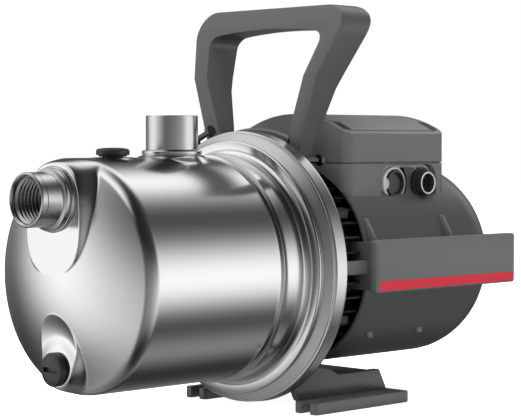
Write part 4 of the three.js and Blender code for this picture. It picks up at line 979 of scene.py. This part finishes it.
@dataclass
class TerminalBox:
    """The terminal box on the motor, its arched lid and its two cable glands."""

    x: Pair = (48.5, 166.7)
    half: float = 57.0
    corner: float = 9.0
    parting: float = 77.7
    shoulder: float = 116.0
    arch: float = 112.0
    window_x: Pair = (88.5, 153.5)
    window_z: Pair = (43.5, 77.0)
    window_corner: float = 11.0
    glands_z: float = 62.0
    blind_x: float = 105.5
    open_x: float = 138.0
    blind_notch: float = 9.5
    wall: float = 2.5
    bottom: float = 46.0
    cover_gap_radius: float = 76.5
    lid_round: float = 3.0
    lid_groove: Pair = (4.2, 5.6)  # from the edge in, to the edge in
    lid_groove_depth: float = 2.0
    lid_slot_y: Pair = (36.0, 51.0)
    lid_slot_width: float = 9.0

    def outline(self, inset: float = 0.0, corner: Optional[float] = None) -> list[Pair]:
        """The box seen from above, as a rectangle with rounded corners.

        Args:
            inset: how far the outline lies inside the box.
            corner: its corner radius, or None for the box's own.

        Returns:
            The outline.
        """
        return rounded(
            (self.x[0] + inset, -self.half + inset), (self.x[1] - inset, self.half - inset),
            self.corner if corner is None else corner,
        )

    def build(self) -> None:
        """Models the box, the lid and the glands."""
        self._lower()
        self._lid()
        self._glands()

    def _lower(self) -> None:
        """The box under the parting line, with its gland window."""
        box = pulled("box_lower", self.outline(), Axis.Z, self.bottom, self.parting)
        inside = pulled("hollow", self.outline(self.wall, 7.0), Axis.Z, self.bottom - 6.0, self.parting + 2)
        shape(box, inside, Cut.AWAY)
        gap = self.cover_gap_radius
        cover = turned("round", [(30, 0.0), (30, gap), (200, gap), (200, 0.0)], 96)
        shape(box, cover, Cut.AWAY)
        low = (self.window_x[0], self.window_z[0] - 14.0)
        window = rounded(low, (self.window_x[1], self.window_z[1]), self.window_corner)
        niche = pulled("niche", self._grown(window, 2.2), Axis.Y, 1.0 - self.half, 8.0 - self.half)
        shape(box, niche, Cut.ADD)
        shape(box, pulled("window", window, Axis.Y, -70.0, -40.0), Cut.AWAY)
        tidy(box)
        soften(box, 0.5, 2)
        piece(box, Finishes.GREY, ["terminal_box"])
        collar = pulled("box_collar", self.outline(1.0), Axis.Z, 72.0, 84.0)
        core = pulled("core", self.outline(3.2, 6.0), Axis.Z, 70.0, 90.0)
        shape(collar, core, Cut.AWAY)
        start, end = self.window_x[0] - 3.0, self.window_x[1] + 3.0
        shape(collar, boxed("mouth", (start, -60, 60), (end, -50, 79.0)), Cut.AWAY)
        tidy(collar)
        piece(collar, Finishes.BLACK)

    @staticmethod
    def _grown(points: list[Pair], by: float) -> list[Pair]:
        """An outline scaled out from its middle.

        Args:
            points: the outline.
            by: how far its sides move out.

        Returns:
            The larger outline.
        """
        us, vs = [u for u, _ in points], [v for _, v in points]
        mid_u, mid_v = (min(us) + max(us)) / 2, (min(vs) + max(vs)) / 2
        wide = 1 + 2 * by / (max(us) - min(us))
        tall = 1 + 2 * by / (max(vs) - min(vs))
        return [(mid_u + (u - mid_u) * wide, mid_v + (v - mid_v) * tall) for u, v in points]

    def _lid(self) -> None:
        """The arched lid with its edge band set off by a groove, and its corner slots."""
        lid = pulled("lid_shell", self.outline(), Axis.Z, self.parting + 0.5, 125.0)
        shape(lid, self._arched("arch", self.arch), Cut.KEEP)
        tidy(lid)
        soften(lid, self.lid_round, 4)
        near, far = self.lid_groove
        groove = pulled("groove", self.outline(near, 6.8), Axis.Z, 90.0, 125.0)
        hold = pulled("hold", self.outline(far, 5.5), Axis.Z, 80.0, 130.0)
        shape(groove, hold, Cut.AWAY)
        shape(groove, self._arched("ring", self.arch - self.lid_groove_depth), Cut.AWAY)
        shape(lid, groove, Cut.AWAY)
        for side in (-1, 1):
            low, high = sorted(side * y for y in self.lid_slot_y)
            for along in (self.x[0] + 4.0, self.x[1] - 12.0):
                pit = boxed("pit", (along, low, 96.0), (along + self.lid_slot_width, high, 120.0), 1.5, 2)
                shape(lid, pit, Cut.AWAY)
        tidy(lid)
        piece(lid, Finishes.GREY, ["terminal_lid"], 40.0)

    def _arched(self, name: str, radius: float) -> bpy.types.Object:
        """A round bar along the shaft whose top follows the lid's arch.

        Args:
            name: the bar's name.
            radius: its radius about the arch's axis.

        Returns:
            The bar.
        """
        section = [(20.0, 0.0), (20.0, radius), (200.0, radius), (200.0, 0.0)]
        return turned(name, section, 256, centre=(0.0, 0.0, self.shoulder - self.arch))

    def _glands(self) -> None:
        """The pale gland plate, the blind gland and the open gland."""
        (x0, x1), (z0, z1) = self.window_x, self.window_z
        outline = rounded((x0 + 0.4, z0 + 2.0), (x1 - 0.4, z1 - 0.4), self.window_corner - 0.4)
        plate = pulled("gland_panel", outline, Axis.Y, -52.4, -50.4)
        soften(plate, 0.4, 2)
        piece(plate, Finishes.PALE, ["gland_plate"])
        middle, mid_z = (self.blind_x + self.open_x) / 2, self.glands_z
        corners = (
            (-6.5, 12.4), (6.5, 12.4), (2.6, 4.0), (2.6, -4.0), (6.5, -13.0), (-6.5, -13.0), (-2.6, -4.0),
            (-2.6, 4.0),
        )
        waist = [(middle + along, mid_z + up) for along, up in corners]
        web = pulled("gland_waist", waist, Axis.Y, -56.2, -52.2)
        piece(web, Finishes.BLACK)
        at = (self.blind_x, 0.0, mid_z)
        self._turned("blind_ring", at, Finishes.PALE, ["blind_gland"], (
            (-51.0, 0.0), (-51.0, 12.8), (-55.4, 12.8), (-56.0, 12.2), (-56.0, 11.4), (-55.0, 11.0),
            (-54.0, 0.0),
        ))
        insert = self._turned("blind_insert", at, None, (), (
            (-52.0, 0.0), (-52.0, 10.6), (-56.8, 10.6), (-57.4, 10.0), (-57.4, 8.6), (-55.0, 7.4),
            (-54.6, 0.0),
        ))
        notch = [(-70.0, 0.0), (-70.0, 4.6), (-50.0, 4.6), (-50.0, 0.0)]
        spot = (self.blind_x - self.blind_notch, 0.0, mid_z)
        shape(insert, turned("notch", notch, 32, Axis.Y, spot), Cut.AWAY)
        piece(insert, Finishes.BLACK)
        at = (self.open_x, 0.0, mid_z)
        self._turned("gland_seat", at, Finishes.PALE, (), (
            (-51.0, 4.0), (-51.0, 13.0), (-53.4, 13.0), (-53.8, 12.6), (-53.8, 4.0),
        ))
        self._turned("gland_base", at, Finishes.BLACK, ["cable_gland_body"], (
            (-51.0, 4.0), (-51.0, 12.3), (-56.4, 12.3), (-57.2, 11.6), (-57.2, 4.0),
        ))
        self._turned("gland_cone", at, Finishes.BLACK, ["cable_gland_nut"], (
            (-57.0, 5.6), (-57.0, 10.8), (-58.6, 10.4), (-61.4, 9.4), (-62.4, 8.9), (-62.4, 7.6),
            (-60.4, 6.4), (-58.0, 5.6),
        ))
        self._turned("gland_lip", at, Finishes.PALE, (), (
            (-62.3, 7.5), (-62.3, 8.9), (-62.8, 8.5), (-62.8, 7.8),
        ))

    @staticmethod
    def _turned(
        name: str, at: Triple, finish: Optional[Finish], nodes: Iterable[str],
        profile: Profile,
    ) -> bpy.types.Object:
        """A gland's part turned about its own axis.

        Args:
            name: the piece's name.
            at: a point on the axis.
            finish: its finish; a part without one is dressed later.
            nodes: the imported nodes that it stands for.
            profile: [along, radius] points.

        Returns:
            The part.
        """
        made = turned(name, profile, 72, Axis.Y, at)
        if finish is not None:
            piece(made, finish, nodes)
        return made


def rounded(
    low: Pair, high: Pair, corner: float, steps: int = 7
) -> list[Pair]:
    """A rectangle with rounded corners.

    Args:
        low: lowest corner.
        high: highest corner.
        corner: corner radius.
        steps: facets in each corner.

    Returns:
        The outline, counter-clockwise.
    """
    points = []
    centres = (
        (high[0] - corner, high[1] - corner, 0), (low[0] + corner, high[1] - corner, 90),
        (low[0] + corner, low[1] + corner, 180), (high[0] - corner, low[1] + corner, 270),
    )
    for u, v, first in centres:
        for i in range(steps + 1):
            turn = math.radians(first + 90 * i / steps)
            points.append((u + corner * math.cos(turn), v + corner * math.sin(turn)))
    return points


@dataclass
class MotorCover:
    """The round motor cover, open at its front and domed at its fan end."""

    radius: float = 77.5
    front: float = 50.5
    rear: float = 221.0
    wall: float = 2.6
    lead_in: float = 0.9
    nose: float = 46.0
    end_radius: float = 35.65
    vent_radius: float = 31.0
    vents: int = 10
    vent_half: float = 1.5
    ribs: int = 40
    rib_x: Pair = (54.5, 144.0)
    tab_x: Pair = (72.0, 130.0)
    plate_x: Pair = (47.0, 214.0)
    plate_z: Pair = (-18.5, 20.9)
    plate_y: float = -90.0
    plate_inset: float = 1.5

    def profile(self) -> list[Pair]:
        """The cover's section.

        Returns:
            [along, radius] points, outside first.
        """
        r, w, end = self.radius, self.wall, self.end_radius
        start = self.rear - self.nose
        turns = [math.pi / 2 * i / 18 for i in range(19)]
        outside = [(start + self.nose * math.sin(a), end + (r - end) * math.cos(a)) for a in turns]
        inside = [(start + (self.nose - w) * math.sin(a), end - w + (r - end) * math.cos(a)) for a in turns]
        mouth = [(self.front, r - w), (self.front, r - self.lead_in), (self.front + self.lead_in, r)]
        return [*mouth, *outside, (self.rear, 0.0), (self.rear - w, 0.0), *inside[::-1]]

    def build(self) -> None:
        """Models the cover, its ribs, the side plate and the stripe."""
        cover = turned("cover_shell", self.profile(), 160)
        tidy(cover)
        for i in range(self.vents):
            height = -27.0 + 54.0 * i / (self.vents - 1)
            reach = math.sqrt(self.vent_radius**2 - height**2)
            low, high = height - self.vent_half, height + self.vent_half
            slit = boxed("slit", (205.0, -reach, low), (230.0, reach, high))
            shape(cover, slit, Cut.AWAY)
        tidy(cover)
        piece(cover, Finishes.DARK, ["motor_cover"], 28.0)
        self._ribs()
        self._plate()

    def _ribs(self) -> None:
        """The ribs in the front opening, and the small ribs round the side plate."""
        ribs = bmesh.new()
        for i in range(self.ribs):
            turn = Matrix.Rotation(math.tau * i / self.ribs, 3, "X")
            made = block(ribs, (20.0, 62.0, -0.8), (51.0, 73.5, 0.8))
            bmesh.ops.rotate(ribs, verts=made, cent=(0, 0, 0), matrix=turn)
        fins = mesh_of(ribs, "opening_ribs")
        piece(fins, Finishes.BLACK)
        bar = boxed("side_bar", (3.5, -79.5, -4.6), (54.0, -74.5, 5.6), 0.8, 2)
        piece(bar, Finishes.GREY)
        fin = [(-70.0, 16.0), (-81.0, 16.0), (-80.5, 21.5), (-71.5, 36.5), (-67.0, 37.0)]
        for along in self.rib_x:
            rib = pulled("plate_rib", fin, Axis.X, along, along + 3.0)
            soften(rib, 0.6, 2)
            piece(rib, Finishes.GREY)
        tab = [(-50.0, -56.0), (-58.5, -56.0), (-57.5, -51.0), (-54.0, -48.0)]
        for along in self.tab_x:
            wedge = pulled("cover_tab", tab, Axis.X, along, along + 6.0)
            soften(wedge, 0.5, 2)
            piece(wedge, Finishes.GREY)

    def _plate(self) -> None:
        """The side plate with its stripe, and the box section behind it."""
        (x0, x1), (z0, z1), y = self.plate_x, self.plate_z, self.plate_y
        plate = pulled("plate_face", rounded((x0, z0), (x1, z1), 2.4), Axis.Y, y + 0.7, y + 7.0)
        soften(plate, 0.7, 2)
        piece(plate, Finishes.GREY, ["side_plate"])
        inset = self.plate_inset
        field = rounded((x0 + inset, z0 + inset), (x1 - inset, z1 - inset), 1.6)
        face = pulled("plate_field", field, Axis.Y, y + 0.1, y + 1.2)
        soften(face, 0.35, 2)
        piece(face, Finishes.GREY)
        stripe = boxed("plate_stripe", (x0 + 2.6, y, z0 + 1.7), (x1 - 2.6, y + 0.9, z0 + 8.9))
        piece(stripe, Finishes.RED, ["side_stripe"])
        back = boxed("plate_back", (x0 + 0.5, y + 6.8, z0 + 1.5), (x1 - 3, -60.0, z1 - 1.5), 1.0, 2)
        piece(back, Finishes.DARK)


@dataclass
class BaseBracket:
    """The two slotted feet and the arched web that carries the motor stool."""

    x: Pair = (0.7, 105.0)
    inner: float = 48.3
    outer: float = 71.7
    top: float = -98.2
    bottom: float = -107.1
    slots_x: Profile = ((-6.0, 15.7), (74.0, 89.0))
    slot_half: float = 4.5
    cheek_y: Pair = (43.5, 49.5)
    cheek: Profile = (
        (5.0, -99.0), (-1.0, -87.0), (8.0, -79.0), (24.0, -74.5), (38.0, -77.4), (49.4, -82.6),
        (95.3, -82.4), (104.0, -99.0),
    )
    neck: Profile = ((-40.0, -86.0), (-46.0, -62.0), (46.0, -62.0), (40.0, -86.0))
    neck_x: Pair = (12.0, 36.0)

    def build(self) -> None:
        """Models the feet and the web."""
        for side in (-1, 1):
            low, high = sorted((side * self.inner, side * self.outer))
            strip = rounded((self.x[0], low), (self.x[1], high), 3.0)
            foot = pulled("foot", strip, Axis.Z, self.bottom, self.top)
            middle, half = (low + high) / 2, self.slot_half
            for start, end in self.slots_x:
                slot = rounded((start, middle - half), (end, middle + half), half - 0.1)
                shape(foot, pulled("slot", slot, Axis.Z, -120.0, -80.0), Cut.AWAY)
            tidy(foot)
            soften(foot, 0.8, 2)
            nodes = ["base_bracket"] if side < 0 else []
            piece(foot, Finishes.GREY, nodes)
        for side in (-1, 1):
            low, high = sorted(side * y for y in self.cheek_y)
            cheek = pulled("cheek", self.cheek, Axis.Y, low, high)
            soften(cheek, 1.0, 2)
            piece(cheek, Finishes.DARK)
        shelf = boxed("shelf", (6.0, -45.0, -88.0), (93.0, 45.0, -83.4), 1.0, 2)
        piece(shelf, Finishes.DARK)
        stand = pulled("neck", self.neck, Axis.X, *self.neck_x)
        soften(stand, 1.2, 2)
        piece(stand, Finishes.DARK)


# ------------------------------------------------------------------------------------------------ the studio
Stops = tuple[Pair, ...]


def calc(tree: bpy.types.NodeTree, operation: str, *values: object) -> bpy.types.NodeSocket:
    """Adds a maths node.

    Args:
        tree: the node tree.
        operation: the node's operation.
        values: a number or a socket for each input.

    Returns:
        The node's output.
    """
    node = tree.nodes.new("ShaderNodeMath")
    node.operation = operation
    for inlet, value in zip(node.inputs, values):
        if isinstance(value, bpy.types.NodeSocket):
            tree.links.new(value, inlet)
        else:
            inlet.default_value = value
    return node.outputs[0]


def degrees(
    tree: bpy.types.NodeTree, rise: bpy.types.NodeSocket, run: bpy.types.NodeSocket
) -> bpy.types.NodeSocket:
    """The angle of (run, rise) in degrees, from -180 to 180."""
    return calc(tree, "MULTIPLY", calc(tree, "ARCTAN2", rise, run), 180.0 / math.pi)


def levels(
    tree: bpy.types.NodeTree, value: bpy.types.NodeSocket, low: float, high: float, stops: Stops
) -> bpy.types.NodeSocket:
    """Light levels that run smoothly between stops.

    Args:
        tree: the node tree.
        value: what the stops are placed along.
        low: the first value covered.
        high: the last value covered.
        stops: [value, level] pairs.

    Returns:
        The level's socket.
    """
    top = max(level for _, level in stops)
    ramp = tree.nodes.new("ShaderNodeValToRGB")
    ramp.color_ramp.interpolation = "B_SPLINE"
    elements = ramp.color_ramp.elements
    while len(elements) > 1:
        elements.remove(elements[-1])
    for place, level in stops:
        element = elements.new((place - low) / (high - low))
        element.color = (level / top, level / top, level / top, 1.0)
    elements.remove(elements[0])
    tree.links.new(calc(tree, "MULTIPLY_ADD", value, 1.0 / (high - low), -low / (high - low)), ramp.inputs[0])
    return calc(tree, "MULTIPLY", ramp.outputs["Color"], top)


def smooth(
    tree: bpy.types.NodeTree, value: bpy.types.NodeSocket, low: float, high: float
) -> bpy.types.NodeSocket:
    """A smooth step from 0 at the low value to 1 at the high one.

    Args:
        tree: the node tree.
        value: what it steps along.
        low: where it starts.
        high: where it ends.

    Returns:
        The step's socket.
    """
    step = tree.nodes.new("ShaderNodeMapRange")
    step.interpolation_type = "SMOOTHSTEP"
    step.inputs["From Min"].default_value = low
    step.inputs["From Max"].default_value = high
    tree.links.new(value, step.inputs["Value"])
    return step.outputs["Result"]


@dataclass(frozen=True)
class SoftBox:
    """A rectangular area light that looks at a point."""

    name: str
    place: Triple
    size: Pair
    power: float
    aim: Triple = (0.0, 0.0, 0.12)

    def build(self) -> None:
        """Adds the light."""
        lamp = bpy.data.lights.new(self.name, "AREA")
        lamp.shape = "RECTANGLE"
        lamp.size, lamp.size_y = self.size
        lamp.energy = self.power
        made = bpy.data.objects.new(self.name, lamp)
        made.location = self.place
        way = Vector(self.aim) - Vector(self.place)
        made.rotation_euler = way.to_track_quat("-Z", "Y").to_euler()
        made.visible_glossy = False
        bpy.context.scene.collection.objects.link(made)


@dataclass
class Studio:
    """The camera, the lights, the pale surroundings and the floor."""

    camera: Triple = (-0.9753, -0.99365, 0.1996)
    yaw: float = 44.72
    pitch: float = 1.95
    lens: float = 126.4
    shift: float = -0.0058
    boxes: tuple[SoftBox, ...] = (
        SoftBox("overhead", (-0.2, -0.1, 1.6), (1.6, 1.2), 42.0),
        SoftBox("front", (-1.3, -0.9, 0.7), (1.0, 1.0), 14.0),
    )
    side_levels: Stops = (
        (-180.0, 0.30), (-165.0, 0.34), (-150.0, 0.20), (-128.0, 0.05), (-108.0, 0.03), (-95.0, 0.20),
        (-83.0, 0.44), (-70.0, 0.32), (-57.0, 0.11), (-46.0, 0.11), (-34.0, 0.5), (-22.0, 1.35),
        (-10.0, 1.85), (1.0, 1.85), (13.0, 1.45), (25.0, 0.80), (37.0, 0.28), (50.0, 0.11), (62.0, 0.11),
        (73.0, 0.26), (85.0, 0.85), (97.0, 1.7), (109.0, 1.85), (121.0, 1.1), (134.0, 0.2), (148.0, 0.06),
        (163.0, 0.12), (174.0, 0.26), (180.0, 0.30),
    )
    front_levels: Stops = (
        (-180.0, 0.9), (-168.0, 0.75), (-157.0, 0.6), (-147.0, 0.5), (-134.0, 0.44), (-120.0, 0.40),
        (-106.0, 0.22), (-96.0, 0.7), (-90.0, 0.9), (-80.0, 1.06), (-65.0, 1.45), (-48.0, 1.90),
        (-34.0, 1.75), (-20.0, 1.25), (-8.0, 0.62), (4.0, 0.34), (20.0, 0.2), (60.0, 0.12),
        (120.0, 0.3), (150.0, 1.4), (170.0, 1.1), (180.0, 0.9),
    )
    front_fall: Stops = ((0.0, 1.0), (9.0, 1.0), (20.0, 0.66), (30.0, 0.25), (40.0, 0.06), (90.0, 0.05))
    front_lean: Pair = (-17.0, 38.0)  # degrees: at the sides, and added straight behind
    above_y: Pair = (-0.25, 0.12)
    side_x: Pair = (0.12, 0.55)
    rise_levels: Stops = (
        (-90.0, 0.1), (-64.0, 0.22), (-50.0, 0.4), (-40.0, 0.3), (-32.0, 0.03), (0.0, 0.0), (31.0, 0.0),
        (37.0, 0.8), (44.0, 1.7), (60.0, 1.5), (74.0, 0.3), (90.0, 0.05),
    )

    def build(self) -> None:
        """Adds the studio."""
        scene = bpy.context.scene
        data = bpy.data.cameras.new("camera")
        data.lens = self.lens
        data.sensor_width = 36.0
        data.shift_y = self.shift
        made = bpy.data.objects.new("camera", data)
        yaw, pitch = math.radians(self.yaw), math.radians(self.pitch)
        look = Vector((math.sin(yaw) * math.cos(pitch), math.cos(yaw) * math.cos(pitch), -math.sin(pitch)))
        made.location = self.camera
        made.rotation_euler = look.to_track_quat("-Z", "Y").to_euler()
        scene.collection.objects.link(made)
        scene.camera = made
        for box in self.boxes:
            box.build()
        self._world(scene)
        self._floor()
        scene.view_settings.view_transform = "Standard"

    def _world(self, scene: bpy.types.Scene) -> None:
        """Surroundings that look white to the camera and light the pump like long soft boxes.

        Args:
            scene: the scene to light.
        """
        world = bpy.data.worlds.new("surroundings")
        world.use_nodes = True
        tree = world.node_tree
        tree.nodes.clear()
        link = tree.links.new
        split = tree.nodes.new("ShaderNodeSeparateXYZ")
        link(tree.nodes.new("ShaderNodeTexCoord").outputs["Generated"], split.inputs[0])
        x, y, z = split.outputs
        round_shaft = degrees(tree, z, calc(tree, "MULTIPLY", y, -1.0))
        side = levels(tree, round_shaft, -180.0, 180.0, self.side_levels)
        bearing = degrees(tree, x, y)
        front = levels(tree, bearing, -180.0, 180.0, self.front_levels)
        rise = degrees(tree, z, calc(tree, "SQRT", calc(tree, "SUBTRACT", 1.0, calc(tree, "POWER", z, 2.0))))
        ahead = calc(tree, "MULTIPLY_ADD", calc(tree, "ABSOLUTE", bearing), -1.0 / 90.0, 1.0)
        low, gain = self.front_lean
        lean = calc(tree, "MULTIPLY_ADD", calc(tree, "MAXIMUM", ahead, 0.0), gain, low)
        across = calc(tree, "ABSOLUTE", calc(tree, "SUBTRACT", rise, lean))
        front = calc(tree, "MULTIPLY", front, levels(tree, across, 0.0, 90.0, self.front_fall))
        above = levels(tree, rise, -90.0, 90.0, self.rise_levels)
        front = calc(tree, "ADD", front, calc(tree, "MULTIPLY", above, smooth(tree, y, *self.above_y)))
        blend = tree.nodes.new("ShaderNodeMix")
        blend.data_type = "FLOAT"
        link(smooth(tree, x, *self.side_x), blend.inputs["Factor"])
        link(front, blend.inputs["A"])
        link(side, blend.inputs["B"])
        paths = tree.nodes.new("ShaderNodeLightPath")
        glow = tree.nodes.new("ShaderNodeBackground")
        white = tree.nodes.new("ShaderNodeBackground")
        white.inputs["Color"].default_value = (1.0, 1.0, 1.0, 1.0)
        choose = tree.nodes.new("ShaderNodeMixShader")
        out = tree.nodes.new("ShaderNodeOutputWorld")
        link(blend.outputs["Result"], glow.inputs["Strength"])
        link(paths.outputs["Is Camera Ray"], choose.inputs["Fac"])
        link(glow.outputs[0], choose.inputs[1])
        link(white.outputs[0], choose.inputs[2])
        link(choose.outputs[0], out.inputs["Surface"])
        scene.world = world

    def _floor(self) -> None:
        """A pale floor that stays white to the camera and leaves reflections to the surroundings."""
        bm = bmesh.new()
        bmesh.ops.create_grid(bm, x_segments=1, y_segments=1, size=6.0)
        floor = mesh_of(bm, "floor")
        floor.location.z = -0.0004
        made = bpy.data.materials.new("floor")
        made.use_nodes = True
        tree = made.node_tree
        link = tree.links.new
        shader = tree.nodes["Principled BSDF"]
        shader.inputs["Base Color"].default_value = (0.8, 0.8, 0.8, 1.0)
        shader.inputs["Roughness"].default_value = 0.9
        shader.inputs["Emission Color"].default_value = (1.0, 1.0, 1.0, 1.0)
        paths = tree.nodes.new("ShaderNodeLightPath")
        link(calc(tree, "MULTIPLY", paths.outputs["Is Camera Ray"], 0.95), shader.inputs["Emission Strength"])
        clear = tree.nodes.new("ShaderNodeBsdfTransparent")
        choose = tree.nodes.new("ShaderNodeMixShader")
        link(paths.outputs["Is Glossy Ray"], choose.inputs["Fac"])
        link(shader.outputs[0], choose.inputs[1])
        link(clear.outputs[0], choose.inputs[2])
        link(choose.outputs[0], tree.nodes["Material Output"].inputs["Surface"])
        floor.data.materials.append(made)


def dress_remaining() -> None:
    """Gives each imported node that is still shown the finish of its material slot."""
    for name, node in frame["nodes"].items():
        label = node.data.materials[0].name.split(".")[0] if node.data.materials else ""
        finish = SLOT_FINISH.get(label, Finishes.DARK)
        node.data.materials.clear()
        node.data.materials.append(finish.material())


def main() -> None:
    """Builds the pump and the studio."""
    logging.basicConfig(level=logging.INFO, format="%(message)s")
    sleeve = PumpSleeve()
    suction = (0.0, 0.0, sleeve.suction_height)
    outlet = (sleeve.outlet_x, 0.0, 0.0)
    filler = (sleeve.filler_x, 0.0, 84.7)
    drain = (sleeve.drain_x, 0.0, sleeve.plug_height)
    pieces = (
        sleeve,
        ThreadedPort("suction_stub", "suction_port", Axis.X, suction, SUCTION_PROFILE, -208.2, 3.1),
        ThreadedPort("outlet_stub", "discharge_port", Axis.Z, outlet, OUTLET_PROFILE, 110.6, -3.1),
        ScrewPlug("filler_cap_head", "filler_plug", Axis.Z, filler, Body.FILLER_CAP, 1.0, height=4.7),
        ScrewPlug("drain_cap_head", "drain_plug", Axis.X, drain, Body.DRAIN_CAP, -1.0),
        ClampBand(), CarryHandle(), TerminalBox(), MotorCover(), BaseBracket(), Studio(),
    )
    dress_remaining()
    for part in pieces:
        part.build()
        LOG.info("%s done", type(part).__name__)


if __name__ == "__main__":
    main()
    bpy.context.view_layer.update()
